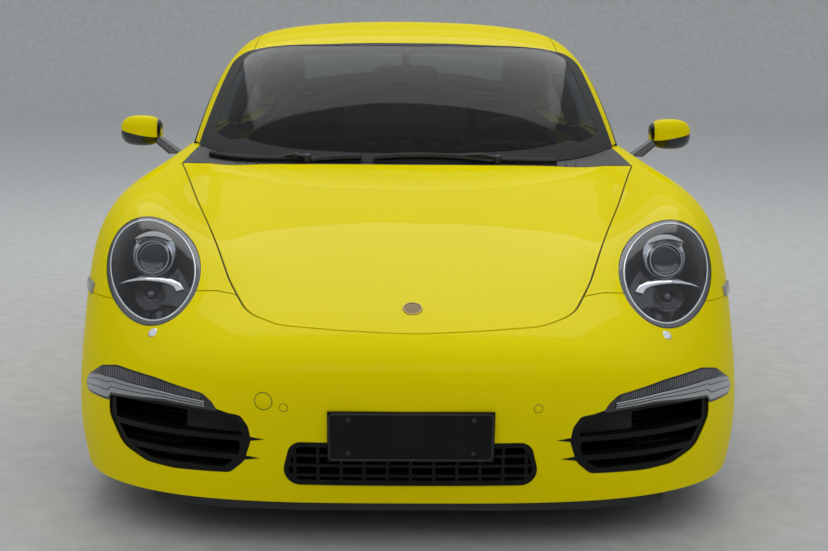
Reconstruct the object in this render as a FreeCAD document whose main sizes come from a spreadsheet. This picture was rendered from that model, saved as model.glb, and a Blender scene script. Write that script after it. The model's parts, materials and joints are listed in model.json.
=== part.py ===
import FreeCAD, Part
import math
import os
import Sketcher
from FreeCAD import Placement, Rotation, Vector

# Two-door rear-engined coupe, in millimetres.
# +Z is up, the nose points to -Y, +X is the car's left side.
# Places are given as (x, s, z), where s runs back from the tip of the nose.

doc = FreeCAD.newDocument("Coupe")

# Driving dimensions: name, value
SIZES = [
    ("front_overhang", 985),
    ("wheelbase", 2450),
    ("rear_overhang", 1056),
    ("body_width", 1816),
    ("belt_height", 850),
    ("roof_height", 1303),
    ("panel_wall", 20),
    ("door_wall", 90),
    ("frame_wall", 50),
    ("roof_wall", 32),
    ("lid_wall", 32),
    ("glass_wall", 5),
    ("panel_gap", 0.6),
    ("shut_gap", 5.5),
    ("seam_gap", 2),
    ("door_gap", 7.5),
    ("tyre_width_front", 245),
    ("tyre_width_rear", 295),
    ("tyre_radius_front", 340),
    ("tyre_radius_rear", 342.5),
    ("rim_radius", 254),
    ("rim_wall", 12),
    ("wheel_inset", 16),
    ("rim_dish", 72.5),
    ("arch_gap", 26),
    ("disc_radius", 170),
    ("disc_width", 32),
    ("hub_radius", 74),
    ("bolt_circle", 130),
    ("bolt_hole", 7.5),
    ("windows_wide", 76),
    ("windows_narrow", 24),
    ("spoke_depth", 36),
    ("kingpin_inset", 70),
    ("liner_wall", 4),
    ("steer_room", 38),
    ("hinge_pin", 5),
    ("hinge_clear", 0.3),
    ("steering_radius", 185),
    ("steering_grip", 15),
    ("lamp_half_width", 118),
    ("lamp_half_height", 184),
    ("lamp_ring", 13),
    ("lamp_depth", 96),
    ("plate_width", 400),
    ("plate_height", 130),
    ("seat_gap", 0.3),
]

sheet = doc.addObject("Spreadsheet::Sheet", "Sizes")
for row, (name, value) in enumerate(SIZES, start=1):
    sheet.set("A%d" % row, name)
    sheet.set("B%d" % row, str(value))
    sheet.setAlias("B%d" % row, name)
doc.recompute()


def size(name):
    return float(sheet.get(name))


HALF_LENGTH = (size("front_overhang") + size("wheelbase") + size("rear_overhang")) / 2
FRONT_AXLE = size("front_overhang")
REAR_AXLE = FRONT_AXLE + size("wheelbase")
TRACK_X_FRONT = size("body_width") / 2 - size("wheel_inset") - size("tyre_width_front") / 2
TRACK_X_REAR = size("body_width") / 2 - size("wheel_inset") - size("tyre_width_rear") / 2
SEAT = size("seat_gap")
GAP = size("panel_gap")
SHUT = size("shut_gap")
SEAM = size("seam_gap")

# The body tables below are drawn for these sizes and are stretched to the sheet.
DRAWN_HALF_WIDTH = 908
DRAWN_FRONT_AXLE = 985
DRAWN_REAR_AXLE = 3435
DRAWN_NOSE = 11.88
DRAWN_TAIL = 4482.83
DRAWN_BELT = 850
DRAWN_ROOF = 1303


def across(x):
    return x * size("body_width") / 2 / DRAWN_HALF_WIDTH


def along(s):
    if s < DRAWN_FRONT_AXLE:
        return (s - DRAWN_NOSE) * FRONT_AXLE / (DRAWN_FRONT_AXLE - DRAWN_NOSE)
    if s < DRAWN_REAR_AXLE:
        span = DRAWN_REAR_AXLE - DRAWN_FRONT_AXLE
        return FRONT_AXLE + (s - DRAWN_FRONT_AXLE) * size("wheelbase") / span
    return REAR_AXLE + (s - DRAWN_REAR_AXLE) * size("rear_overhang") / (DRAWN_TAIL - DRAWN_REAR_AXLE)


def up(z):
    if z < DRAWN_BELT:
        return z * size("belt_height") / DRAWN_BELT
    share = (z - DRAWN_BELT) / (DRAWN_ROOF - DRAWN_BELT)
    return size("belt_height") + share * (size("roof_height") - size("belt_height"))


def place(x, s, z):
    return Vector(across(x), along(s) - HALF_LENGTH, up(z))


# Lower body: each row is a section on a plane through a hinge line (s, z), turned by
# an angle from straight ahead; 90 is a plain cross-section. The eight columns are
# (x, distance from the hinge line), from the middle of the car to its lower edge.
FRONT_HINGE = (985, 120)
REAR_HINGE = (3435, 200)
LOWER_ROWS = [
    # hinge, angle, spine, bonnet, valley, crown, shoulder, flank, rocker, edge
    (FRONT_HINGE, 0, (0, 900), (270, 900), (480, 872), (640, 810), (775, 700), (850, 560), (885, 410), (888, 250)),
    (FRONT_HINGE, 8, (0, 948), (270, 944), (480, 905), (655, 830), (790, 712), (868, 560), (898, 410), (900, 250)),
    (FRONT_HINGE, 16, (0, 1026), (275, 1012), (485, 962), (665, 850), (800, 716), (876, 560), (905, 410), (905, 250)),
    (FRONT_HINGE, 22, (0, 1052), (280, 1034), (485, 978), (670, 852), (805, 718), (880, 560), (906, 410), (906, 250)),
    (FRONT_HINGE, 28, (0, 945), (285, 935), (480, 900), (672, 820), (808, 724), (882, 570), (906, 410), (906, 250)),
    (FRONT_HINGE, 36, (0, 832), (290, 824), (478, 800), (668, 800), (805, 735), (882, 580), (906, 410), (906, 250)),
    (FRONT_HINGE, 46, (0, 743), (295, 736), (485, 718), (668, 800), (805, 745), (884, 590), (906, 420), (906, 250)),
    (FRONT_HINGE, 56, (0, 684), (300, 677), (505, 655), (672, 790), (812, 742), (890, 600), (908, 430), (908, 250)),
    (FRONT_HINGE, 70, (0, 646), (305, 640), (540, 612), (684, 740), (826, 716), (902, 600), (908, 430), (906, 250)),
    ((985, 0), 90, (0, 767), (310, 762), (575, 730), (698, 842), (846, 818), (912, 680), (908, 500), (898, 330)),
    ((1250, 0), 90, (0, 808), (315, 803), (605, 778), (712, 856), (838, 828), (898, 680), (890, 450), (872, 150)),
    ((1500, 0), 90, (0, 838), (320, 834), (630, 826), (722, 866), (812, 838), (874, 680), (868, 420), (845, 150)),
    ((1900, 0), 90, (0, 846), (320, 846), (600, 850), (715, 882), (800, 862), (862, 670), (858, 400), (838, 150)),
    ((2400, 0), 90, (0, 846), (320, 846), (600, 854), (705, 892), (806, 872), (864, 680), (860, 400), (838, 150)),
    ((2900, 0), 90, (0, 846), (320, 846), (600, 854), (715, 900), (842, 882), (896, 700), (890, 430), (862, 150)),
    ((3435, 0), 90, (0, 840), (320, 840), (580, 845), (715, 896), (862, 872), (914, 700), (912, 520), (900, 350)),
    (REAR_HINGE, 70, (0, 668), (320, 668), (560, 668), (705, 722), (855, 700), (912, 560), (912, 400), (905, 250)),
    (REAR_HINGE, 52, (0, 820), (320, 815), (540, 800), (690, 815), (835, 760), (905, 590), (912, 410), (908, 250)),
    (REAR_HINGE, 38, (0, 985), (320, 975), (530, 945), (680, 890), (815, 780), (890, 600), (910, 410), (906, 250)),
    (REAR_HINGE, 30, (0, 1088), (320, 1074), (540, 1030), (685, 950), (815, 810), (886, 620), (908, 420), (905, 250)),
    (REAR_HINGE, 22, (0, 1106), (320, 1095), (560, 1045), (700, 960), (820, 820), (886, 630), (906, 430), (903, 250)),
    (REAR_HINGE, 14, (0, 1104), (320, 1094), (560, 1042), (700, 955), (815, 820), (880, 640), (902, 440), (898, 250)),
    (REAR_HINGE, 6, (0, 1020), (320, 1014), (560, 970), (690, 895), (800, 790), (868, 640), (892, 440), (890, 250)),
    (REAR_HINGE, 0, (0, 900), (320, 900), (540, 880), (670, 830), (780, 740), (850, 610), (880, 430), (880, 250)),
]

# Cabin: each row is a hoop; bow is how far its sides lie behind its middle.
CABIN_FOOT = 650
CABIN_ROWS = [
    # s, spine z, drop to the rail, rail x, bow, belt x, belt z
    (1300, 650, 0, 705, 330, 770, 650),
    (1430, 795, 5, 728, 215, 786, 740),
    (1770, 1055, 56, 722, 195, 784, 805),
    (2060, 1212, 66, 680, 155, 776, 825),
    (2280, 1280, 70, 646, 98, 770, 838),
    (2560, 1312, 84, 620, 45, 762, 845),
    (2900, 1298, 90, 602, 0, 748, 845),
    (3250, 1232, 102, 576, -20, 726, 838),
    (3600, 1122, 106, 548, -30, 694, 820),
    (3950, 1000, 86, 540, -30, 664, 795),
    (4230, 898, 45, 565, -40, 645, 765),
    (4395, 850, 20, 590, -75, 630, 735),
    (4330, 650, 0, 585, -75, 625, 650),
]


def mirrored(row):
    return [(-x, s, z) for x, s, z in row[:0:-1]] + row


def lower_grid():
    grid = []
    for (hinge_s, hinge_z), angle, *columns in LOWER_ROWS:
        turn = math.radians(angle)
        side = 1 if (hinge_s, hinge_z) == REAR_HINGE else -1
        row = [(x, hinge_s + side * r * math.cos(turn), hinge_z + r * math.sin(turn)) for x, r in columns]
        grid.append([place(*point) for point in mirrored(row)])
    return grid


def cabin_grid(rows):
    grid = []
    for s, z, drop, rail_x, bow, belt_x, belt_z in rows:
        rail_z = z - drop
        row = [
            (0, s, z),
            (0.50 * rail_x, s + 0.22 * bow, z - 0.10 * drop),
            (0.84 * rail_x, s + 0.62 * bow, z - 0.42 * drop),
            (rail_x, s + bow, rail_z),
            (rail_x + 0.62 * (belt_x - rail_x), s + 1.12 * bow, belt_z + 0.48 * (rail_z - belt_z)),
            (belt_x, s + 1.2 * bow, belt_z),
            (belt_x + 12, s + 1.2 * bow, CABIN_FOOT),
        ]
        grid.append([place(*point) for point in mirrored(row)])
    return grid


def skin(grid):
    """A cubic surface over a grid of poles."""
    def knots(count):
        spans = count - 3
        return [i / spans for i in range(spans + 1)], [4] + [1] * (spans - 1) + [4]
    knots_u, mults_u = knots(len(grid))
    knots_v, mults_v = knots(len(grid[0]))
    surface = Part.BSplineSurface()
    surface.buildFromPolesMultsKnots(grid, mults_u, mults_v, knots_u, knots_v, False, False, 3, 3)
    return surface


def inset(grid, depth, drop):
    """The grid drawn in and down by a depth; its open rim goes down further, to cut right through."""
    poles = [pole for row in grid for pole in row]
    low, high = min(pole.y for pole in poles), max(pole.y for pole in poles)
    middle, reach = (low + high) / 2, (high - low) / 2
    half_width = max(pole.x for pole in poles)
    last_row, last_column = len(grid) - 1, len(grid[0]) - 1
    moved = []
    for i, row in enumerate(grid):
        line = []
        for j, pole in enumerate(row):
            rim = i in (0, last_row) or j in (0, last_column)
            x = pole.x * (1 - depth / half_width)
            y = middle + (pole.y - middle) * (1 - depth / reach)
            line.append(Vector(x, y, pole.z - (drop if rim else depth)))
        moved.append(line)
    return moved


def closed(grid):
    """The solid under a skin: flat caps on level rims, and a ruled floor between its sides."""
    face = skin(grid).toShape()
    level = [edge for edge in face.Edges if edge.BoundBox.ZLength < 0.01]
    if len(level) == 4:
        cap = Part.Face(Part.Wire(Part.sortEdges(face.Edges)[0]))
        return Part.makeSolid(Part.Shell([face, cap]))
    sides = [edge for edge in face.Edges if edge.BoundBox.ZLength >= 0.01]
    caps = []
    for edge in level:
        start, end = edge.Vertexes[0].Point, edge.Vertexes[-1].Point
        caps.append(Part.Face(Part.Wire([edge, Part.makeLine(end, start)])))
    floor = Part.makeRuledSurface(sides[0], sides[1])
    return Part.makeSolid(Part.Shell([face, floor] + caps))


RIM_DROP = 60
lower_poles = lower_grid()
cabin_poles = cabin_grid(CABIN_ROWS)
lower = closed(lower_poles)
cabin = closed(cabin_poles)


def lower_inside(depth):
    return closed(inset(lower_poles, depth, RIM_DROP))


def cabin_inside(depth):
    return closed(inset(cabin_poles, depth, RIM_DROP))


# Outlines. Each corner is (a, b, radius); a radius of 0 keeps it sharp.
FAR = 3000


def outline(corners, to_vector):
    """A closed wire of straight runs joined by arcs, each no longer than its runs allow."""
    points = [to_vector(a, b) for a, b, r in corners]
    count = len(points)
    edges = []
    ends = []
    for i, (a, b, r) in enumerate(corners):
        here, before, after = points[i], points[i - 1], points[(i + 1) % count]
        if r == 0:
            ends.append((here, here))
            continue
        back = (before - here).normalize()
        ahead = (after - here).normalize()
        half = back.getAngle(ahead) / 2
        shorter = min((before - here).Length, (after - here).Length)
        trim = min(r / math.tan(half), 0.49 * shorter)
        r = trim * math.tan(half)
        middle = here + (back + ahead).normalize() * (r / math.sin(half) - r)
        start, end = here + back * trim, here + ahead * trim
        ends.append((start, end))
        edges.append(Part.Arc(start, middle, end).toShape())
    for i in range(count):
        start, end = ends[i - 1][1], ends[i][0]
        if (start - end).Length > 1e-4:
            edges.append(Part.makeLine(start, end))
    return Part.Wire(Part.sortEdges(edges)[0])


def from_above(corners, low=-100, high=1600):
    """A prism over an outline in plan, with corners (x, s, radius)."""
    wire = outline(corners, lambda x, s: place(x, s, 0))
    wire.translate(Vector(0, 0, low))
    return Part.Face(wire).extrude(Vector(0, 0, high - low))


def from_front(corners, start, end, grow=0):
    """A prism behind an outline seen from the front, with corners (x, z, radius)."""
    wire = outline(corners, lambda x, z: place(x, start, z))
    face = Part.Face(wire)
    if grow:
        face = face.makeOffset2D(grow, 2)
        face.translate(Vector(0, -grow, 0))
    return face.extrude(Vector(0, along(end) - along(start) + grow, 0))


def from_side(corners, inner, outer, grow=0, lean=0):
    """A prism beside an outline seen from the side, with corners (s, z, radius).

    The outline is the one at the outer face; the inner one is smaller by the lean.
    """
    wire = outline(corners, lambda s, z: place(0, s, z))
    face = Part.Face(wire)
    if grow:
        face = face.makeOffset2D(grow, 2)
    outer_wire = face.OuterWire
    if not lean:
        prism = Part.Face(outer_wire)
        prism.translate(Vector(across(inner), 0, 0))
        return prism.extrude(Vector(across(outer) - across(inner), 0, 0))
    inner_wire = face.makeOffset2D(-lean, 2).OuterWire
    outer_wire = outer_wire.copy()
    inner_wire.translate(Vector(across(inner), 0, 0))
    outer_wire.translate(Vector(across(outer), 0, 0))
    return Part.makeLoft([inner_wire, outer_wire], True, True)


def block(x0, x1, s0, s1, z0, z1):
    """A box between drawn places."""
    low, high = place(x0, s0, z0), place(x1, s1, z1)
    return Part.makeBox(high.x - low.x, high.y - low.y, high.z - low.z, low)


def largest(shape):
    return max(shape.Solids, key=lambda solid: solid.Volume)


def flipped(shape):
    """The same piece for the other side of the car."""
    return shape.mirror(Vector(0, 0, 0), Vector(1, 0, 0))


pieces = {}


def keep(name, shape):
    """Adds a piece whose shape is worked out here to the document."""
    feature = doc.addObject("Part::Feature", name)
    feature.Label = name
    feature.Shape = shape
    pieces[name] = feature
    return feature


def keep_both(name, shapes):
    """Like pieces of both sides in one node."""
    keep(name, Part.makeCompound(shapes + [flipped(shape) for shape in shapes]))


def keep_pair(name, shape):
    keep(name + "_left", shape)
    keep(name + "_right", flipped(shape))


# Seams and shut lines, as outlines of (x, z), (x, s) or (s, z) and a corner radius
FRONT_SEAM = [(0, 640, 0), (424, 640, 0), (430, 590, 8), (500, 598, 60), (560, 597, 200), (680, 572, 300),
              (940, 562, 0)]
BONNET_HALF = [(0, 94, 3000), (180, 119, 500), (318, 157, 130), (404, 232, 200), (470, 412, 900), (612, 905, 3000),
               (714, 1330, 26), (644, 1452, 60), (470, 1512, 300), (200, 1484, 900), (0, 1470, 3000)]
BONNET_LOW = 450
WINDSCREEN_PLAN = [(-748, 1420, 0), (-745, 1670, 0), (-634, 2236, 50), (-300, 2140, 800), (0, 2118, 1500),
                   (300, 2140, 800), (634, 2236, 50), (745, 1670, 0), (748, 1420, 0)]
ROOF_PLAN = [(-566, 2100, 0), (-548, 2600, 2000), (-500, 3098, 0), (0, 3086, 2000), (500, 3098, 0),
             (548, 2600, 2000), (566, 2100, 0)]
REAR_WINDOW_PLAN = [(-478, 3100, 50), (0, 3086, 2000), (478, 3100, 50), (500, 3735, 70), (0, 3778, 2000),
                    (-500, 3735, 70)]
REAR_LID_PLAN = [(-512, 3700, 0), (512, 3700, 0), (540, 4200, 400), (540, 4600, 0), (-540, 4600, 0),
                 (-540, 4200, 400)]
BUMPER_REAR = [(-960, 60, 0), (960, 60, 0), (960, 690, 0), (560, 690, 30), (560, 900, 0), (-560, 900, 0),
               (-560, 690, 30), (-960, 690, 0)]
BUMPER_REAR_START = 3560
DOOR_SIDE = [(1536, 226, 40), (1530, 600, 600), (1600, 800, 200), (1762, 856, 60), (1810, 930, 0), (2792, 930, 0),
             (2806, 640, 400), (2750, 226, 60)]
DOOR_GLASS_SIDE = [(1806, 800, 0), (1812, 840, 20), (2020, 986, 500), (2210, 1096, 300), (2430, 1174, 300),
                   (2762, 1176, 90), (2768, 800, 0)]
QUARTER_GLASS_SIDE = [(2816, 862, 12), (2816, 1170, 30), (3010, 1126, 300), (3330, 980, 60), (3390, 915, 40),
                      (3150, 868, 300)]
DOOR_INNER = 712
DOOR_HOLE_INNER = 704
DOOR_OUTER = 960
DOOR_LEAN = 0.1
HINGE = (842, 1650)
HINGE_HEIGHTS = (400, 620)
COWL_FRONT = 1320
COWL_SIDE = 717
SILL_TOP = 236


def both_halves(half):
    """A plan outline from its half, which starts and ends on the middle line."""
    return [(-x, s, r) for x, s, r in half[-2:0:-1]] + half


BONNET_PLAN = both_halves(BONNET_HALF)


def front_zone(lift, above):
    """Everything above or below the front bumper's upper seam, which is lifted a little."""
    half = [(x, z + lift, r) for x, z, r in FRONT_SEAM]
    line = [(-x, z, r) for x, z, r in half[:0:-1]] + [(half[0][0], half[0][1], 0)] + half[1:]
    edge = 1400 if above else -200
    corners = [(-940, edge, 0)] + line + [(940, edge, 0)]
    return from_front(corners, -100, 1900 if above else 985)


def widened(corners, by):
    """A plan outline grown on all sides and extruded through the car."""
    wire = outline(corners, lambda x, s: place(x, s, 0))
    face = Part.Face(wire)
    grown = face.makeOffset2D(by, 2) if by else face
    grown.translate(Vector(0, 0, -100))
    return grown.extrude(Vector(0, 0, 1700))


wheel_x = {"front": TRACK_X_FRONT, "rear": TRACK_X_REAR}
wheel_y = {"front": FRONT_AXLE - HALF_LENGTH, "rear": REAR_AXLE - HALF_LENGTH}
wheel_z = {"front": size("tyre_radius_front"), "rear": size("tyre_radius_rear")}


def arch(end, extra=0):
    radius = size("tyre_radius_" + end) + size("arch_gap") + extra
    centre = Vector(-FAR / 2, wheel_y[end], wheel_z[end])
    return Part.makeCylinder(radius, FAR, centre, Vector(1, 0, 0))


arches = arch("front").fuse(arch("rear"))
cabin_clear = closed(inset(cabin_poles, -GAP, RIM_DROP))
lower_clear = closed(inset(lower_poles, -GAP, RIM_DROP))
cabin_roof = cabin.cut(cabin_inside(size("roof_wall")))
cabin_glass = cabin.cut(cabin_inside(size("glass_wall")))
lower_wall = lower.cut(lower_inside(size("panel_wall")))
lower_frame = lower.cut(lower_inside(size("frame_wall")))
lower_shut = closed(inset(lower_poles, -SHUT, RIM_DROP))
lower_lid = lower.cut(lower_inside(size("lid_wall")))
lower_door = lower.cut(lower_inside(size("door_wall")))
left_half = block(0, 1000, -50, 4600, -100, 1500)

bonnet_room = block(-1000, 1000, 0, 1800, BONNET_LOW, 1500)
bonnet_hole = widened(BONNET_PLAN, SHUT).common(bonnet_room)
windscreen_hole = widened(WINDSCREEN_PLAN, GAP)
roof_hole = widened(ROOF_PLAN, SEAM)
rear_window_hole = widened(REAR_WINDOW_PLAN, GAP)
rear_lid_front = widened(REAR_WINDOW_PLAN, SHUT)
rear_lid_hole = widened(REAR_LID_PLAN, SHUT)
DOOR_GAP = size("door_gap")
lower_door_clear = closed(inset(lower_poles, -DOOR_GAP, RIM_DROP))
door_hole = from_side(DOOR_SIDE, DOOR_HOLE_INNER, DOOR_OUTER, DOOR_GAP, DOOR_LEAN * (DOOR_OUTER - DOOR_HOLE_INNER))
door_glass_hole = from_side(DOOR_GLASS_SIDE, 560, DOOR_OUTER, DOOR_GAP)
quarter_hole = from_side(QUARTER_GLASS_SIDE, 500, 960, GAP)
door_room = door_hole.common(lower_door_clear)
rear_bumper_zone = from_front(BUMPER_REAR, BUMPER_REAR_START, 4700)
rear_bumper_hole = from_front(BUMPER_REAR, BUMPER_REAR_START, 4700, GAP)

keep("front_bumper", largest(lower_wall.common(front_zone(0, False)).cut(arches).cut(bonnet_hole)))
keep("front_lid", largest(lower_lid.common(widened(BONNET_PLAN, 0)).common(bonnet_room)))
wing = lower_wall.common(block(300, 1000, 0, 1800, SILL_TOP, 1500))
wing = wing.cut(front_zone(SEAM, False).common(block(-1000, 1000, -200, 985, -200, 1500)))
wing = wing.cut(block(0, COWL_SIDE, COWL_FRONT, 1900, 500, 1500)).cut(bonnet_hole).cut(arches).cut(door_hole)
wing = wing.cut(cabin_clear)
keep_pair("wing", largest(wing))
cowl = lower_wall.common(block(GAP - COWL_SIDE, COWL_SIDE - GAP, COWL_FRONT + GAP, 1760, 500, 1500))
for hole in (bonnet_hole, door_hole, flipped(door_hole), cabin_clear):
    cowl = cowl.cut(hole)
keep("cowl", largest(cowl))
keep("windscreen", largest(cabin_glass.common(widened(WINDSCREEN_PLAN, 0)).cut(lower_clear)))
keep("roof_panel", largest(cabin_roof.common(widened(ROOF_PLAN, 0)).cut(windscreen_hole).cut(rear_window_hole)))
keep("rear_window", largest(cabin_glass.common(widened(REAR_WINDOW_PLAN, 0))))
lid = cabin_roof.common(widened(REAR_LID_PLAN, 0)).cut(rear_lid_front)
lid = lid.cut(lower_shut)
LOUVRE_PLAN = [(-420, 3856, 24), (420, 3856, 24), (440, 4090, 24), (-440, 4090, 24)]
LOUVRE_PITCH = 26
louvre_zone = cabin.cut(cabin_inside(size("roof_wall") - 8))
keep("rear_lid", largest(lid.cut(widened(LOUVRE_PLAN, GAP))))
grille = louvre_zone.common(widened(LOUVRE_PLAN, 0))
bars = grille.cut(widened(LOUVRE_PLAN, -14))
for i in range(1, 9):
    s = 3856 + i * LOUVRE_PITCH
    bars = bars.fuse(grille.common(block(-500, 500, s - 5, s + 5, 700, 1300)))
bars = bars.fuse(grille.common(block(-12, 12, 3856, 4090, 700, 1300)))
keep("rear_grille", largest(bars))

# Pillars and roof rail of one side, in one pressing
pillars = cabin.common(left_half)
for hole in (lower_clear, windscreen_hole, roof_hole, rear_window_hole, rear_lid_hole, door_glass_hole, quarter_hole,
             cabin_inside(size("frame_wall")), door_room):
    pillars = pillars.cut(hole)
keep_pair("pillars", largest(pillars))

rear_wing = lower_frame.common(block(0, 1000, 2700, 4600, SILL_TOP, 1500))
for hole in (door_hole, arches, rear_bumper_hole, cabin_inside(size("frame_wall")), rear_lid_hole, rear_window_hole):
    rear_wing = rear_wing.cut(hole)
keep_pair("rear_wing", largest(rear_wing))
sill = lower_frame.common(block(0, 1000, 1300, 3200, 0, SILL_TOP - GAP)).cut(door_hole).cut(arches)
sill = sill.cut(arch("front", size("steer_room")).common(lower_inside(size("panel_wall"))))
keep_both("sills", [largest(sill)])
cabin_side = cabin.common(left_half).cut(lower_clear)
quarter = cabin_side.common(from_side(QUARTER_GLASS_SIDE, 500, DOOR_OUTER)).cut(cabin_inside(size("glass_wall")))
keep_both("quarter_windows", [largest(quarter)])

# Doors
glass = cabin_side.common(from_side(DOOR_GLASS_SIDE, 560, DOOR_OUTER)).cut(cabin_inside(size("glass_wall")))
door = lower_door.common(from_side(DOOR_SIDE, DOOR_INNER, DOOR_OUTER, 0, DOOR_LEAN * (DOOR_OUTER - DOOR_INNER)))


def hinge_arm(height, room):
    """A hinge arm about its pin; with room it is the space that the arm needs in the door."""
    axis = place(*HINGE, height)
    if not room:
        arm = Part.makeBox(160, 18, 14, Vector(-160, -9, -7)).fuse(Part.makeCylinder(9, 14, Vector(0, 0, -7)))
        arm = arm.fuse(Part.makeCylinder(size("hinge_pin"), 54, Vector(0, 0, -27)))
        arm.translate(axis)
        return arm
    swing = Part.Face(outline([(14, 14, 12), (14, -10, 12), (-58, -140, 0), (-200, -140, 0), (-200, 14, 0)],
                              lambda a, b: Vector(a, b, -7 - room))).extrude(Vector(0, 0, 14 + 2 * room))
    bore = Part.makeCylinder(size("hinge_pin") + size("hinge_clear"), 54 + 2 * room, Vector(0, 0, -27 - room))
    swing = swing.fuse(bore)
    swing.translate(axis)
    return swing


for height in HINGE_HEIGHTS:
    door = door.cut(hinge_arm(height, 3))
keep_pair("door", largest(door))
keep_pair("door_glass", largest(glass))

rear_bumper = lower_wall.common(rear_bumper_zone).cut(arches).cut(cabin_inside(size("frame_wall")))
keep("rear_bumper", largest(rear_bumper))


# Lamps and grilles
def tilted(x, s, z, lean, splay, axis_shape):
    """A shape made about the origin, its face turned forward, up by a lean and out by a splay."""
    shape = axis_shape.copy()
    shape.rotate(Vector(0, 0, 0), Vector(1, 0, 0), -lean)
    shape.rotate(Vector(0, 0, 0), Vector(0, 0, 1), splay)
    shape.translate(place(x, s, z))
    return shape


LAMP = (678, 437, 640)
LAMP_LEAN = 20
LAMP_SPLAY = 12
LAMP_TURN = 35.6


def lamp_tube(grow):
    """The oval space of the left headlamp, through the skin; its long axis leans outwards."""
    half_width, half_height = size("lamp_half_width") + grow, size("lamp_half_height") + grow
    oval = Part.Ellipse(Vector(0, 0, 0), half_height, half_width).toShape()
    face = Part.Face(Part.Wire([oval]))
    face.rotate(Vector(0, 0, 0), Vector(1, 0, 0), 90)
    face.rotate(Vector(0, 0, 0), Vector(0, 1, 0), LAMP_TURN - 90)
    face.translate(Vector(0, -FAR / 10, 0))
    tube = face.extrude(Vector(0, 2 * FAR / 10, 0))
    return tilted(*LAMP, LAMP_LEAN, LAMP_SPLAY, tube)


LENS_WALL = size("glass_wall")
lamp_hole = lamp_tube(GAP)
lens = lower.common(lamp_tube(0)).cut(lower_inside(LENS_WALL))
bowl = lower_inside(LENS_WALL + SEAT).common(lamp_tube(0)).cut(lower_inside(size("lamp_depth")))
hollow = lamp_tube(-size("lamp_ring")).cut(lower_inside(size("lamp_depth") - 4 * LENS_WALL))
bowl = bowl.cut(hollow).cut(arch("front", size("steer_room") + SEAT))
keep_both("headlamps", [largest(bowl)])
keep_both("lamp_covers", [largest(lens)])

DRL_FRONT = [(466, 351, 4), (481, 374, 12), (504, 393, 30), (630, 414, 300), (742, 421, 60), (790, 409, 40),
             (836, 372, 40), (849, 344, 20), (838, 328, 16), (765, 330, 0), (757, 345, 0), (606, 359, 300)]
INTAKE_FRONT = [(410, 345, 20), (440, 349, 0), (470, 357, 0), (606, 365, 300), (762, 351, 0), (762, 296, 60),
                (722, 226, 60), (655, 196, 60), (584, 190, 200), (440, 194, 30), (404, 226, 40), (386, 282, 30),
                (392, 318, 30)]
SLAT_HEIGHTS = (236, 286)
SLAT_WALL = 14
FRAME_RIM = 20
SLAT_TIPS = [(412, 366, 236), (400, 352, 286)]
CENTRE_FRONT = [(-318, 170, 40), (-290, 283, 34), (290, 283, 34), (318, 170, 40)]
FRONT_END = 620


def nose(corners, grow=0):
    return from_front(corners, -100, FRONT_END, grow)


def drawn_in(corners, by):
    """An outline whose corners have moved towards its middle."""
    middle = Vector(sum(a for a, b, r in corners), sum(b for a, b, r in corners), 0) * (1 / len(corners))
    moved = []
    for a, b, r in corners:
        corner = Vector(a, b, 0)
        corner += (middle - corner).normalize() * by
        moved.append((corner.x, corner.y, r))
    return moved


def slat_tip(base, tip, z, grow):
    """A pointed end that runs out over the bumper from a slat."""
    half = SLAT_WALL / 2 + grow
    return nose([(base, z + half, 0), (base, z - half, 0), (tip - 4 * grow, z, 0)])


drl_hole = nose(DRL_FRONT, GAP)
drl = lower_wall.common(nose(DRL_FRONT)).cut(arches)
keep_both("running_lamps", [largest(drl)])
intake_hole = nose(INTAKE_FRONT, GAP)
centre_hole = nose(CENTRE_FRONT, GAP)
slats = [block(300, 800, -50, FRONT_END, z - SLAT_WALL / 2, z + SLAT_WALL / 2) for z in SLAT_HEIGHTS]
intake = lower_inside(4).cut(lower_inside(40)).common(nose(INTAKE_FRONT)).cut(drl_hole)
frame_inner = nose(drawn_in(INTAKE_FRONT, FRAME_RIM))
intake_open = intake.cut(frame_inner)
for slat in slats:
    intake_open = intake_open.fuse(intake.common(slat))
for tip in SLAT_TIPS:
    intake_hole = intake_hole.fuse(slat_tip(*tip, GAP))
    intake_open = intake_open.fuse(lower_inside(2).cut(lower_inside(24)).common(slat_tip(*tip, 0)))
intake_open = intake_open.cut(arches)
centre = lower_inside(4).cut(lower_inside(40)).common(nose(CENTRE_FRONT))
centre_inner = nose([(-304, 184, 30), (-280, 270, 24), (280, 270, 24), (304, 184, 30)])
centre_open = centre.cut(centre_inner)
for x in range(-280, 281, 56):
    centre_open = centre_open.fuse(centre.common(block(x - 4, x + 4, -50, 300, 100, 330)))
for z in (196, 222, 248):
    centre_open = centre_open.fuse(centre.common(block(-330, 330, -50, 300, z - 4, z + 4)))
keep_both("side_grilles", [largest(intake_open)])
keep("centre_grille", largest(centre_open))

bumper = pieces["front_bumper"].Shape
for hole in (lamp_hole, flipped(lamp_hole), drl_hole, flipped(drl_hole), intake_hole, flipped(intake_hole), centre_hole):
    bumper = bumper.cut(hole)
pieces["front_bumper"].Shape = largest(bumper)
for side, hole in (("left", lamp_hole), ("right", flipped(lamp_hole))):
    pieces["wing_" + side].Shape = largest(pieces["wing_" + side].Shape.cut(hole))

PLATE = (0, 32, 303)
PLATE_LEAN = 11
plate = Part.makeBox(size("plate_width"), 6, size("plate_height"),
                     Vector(-size("plate_width") / 2, -6, -size("plate_height") / 2))
plate = plate.fuse(Part.makeBox(size("plate_width") - 60, 60, size("plate_height") - 40,
                                Vector(30 - size("plate_width") / 2, 0, 20 - size("plate_height") / 2)))
plate.rotate(Vector(0, 0, 0), Vector(1, 0, 0), PLATE_LEAN)
plate.translate(place(*PLATE))
keep("front_plate", largest(plate.cut(lower_clear)))

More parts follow.
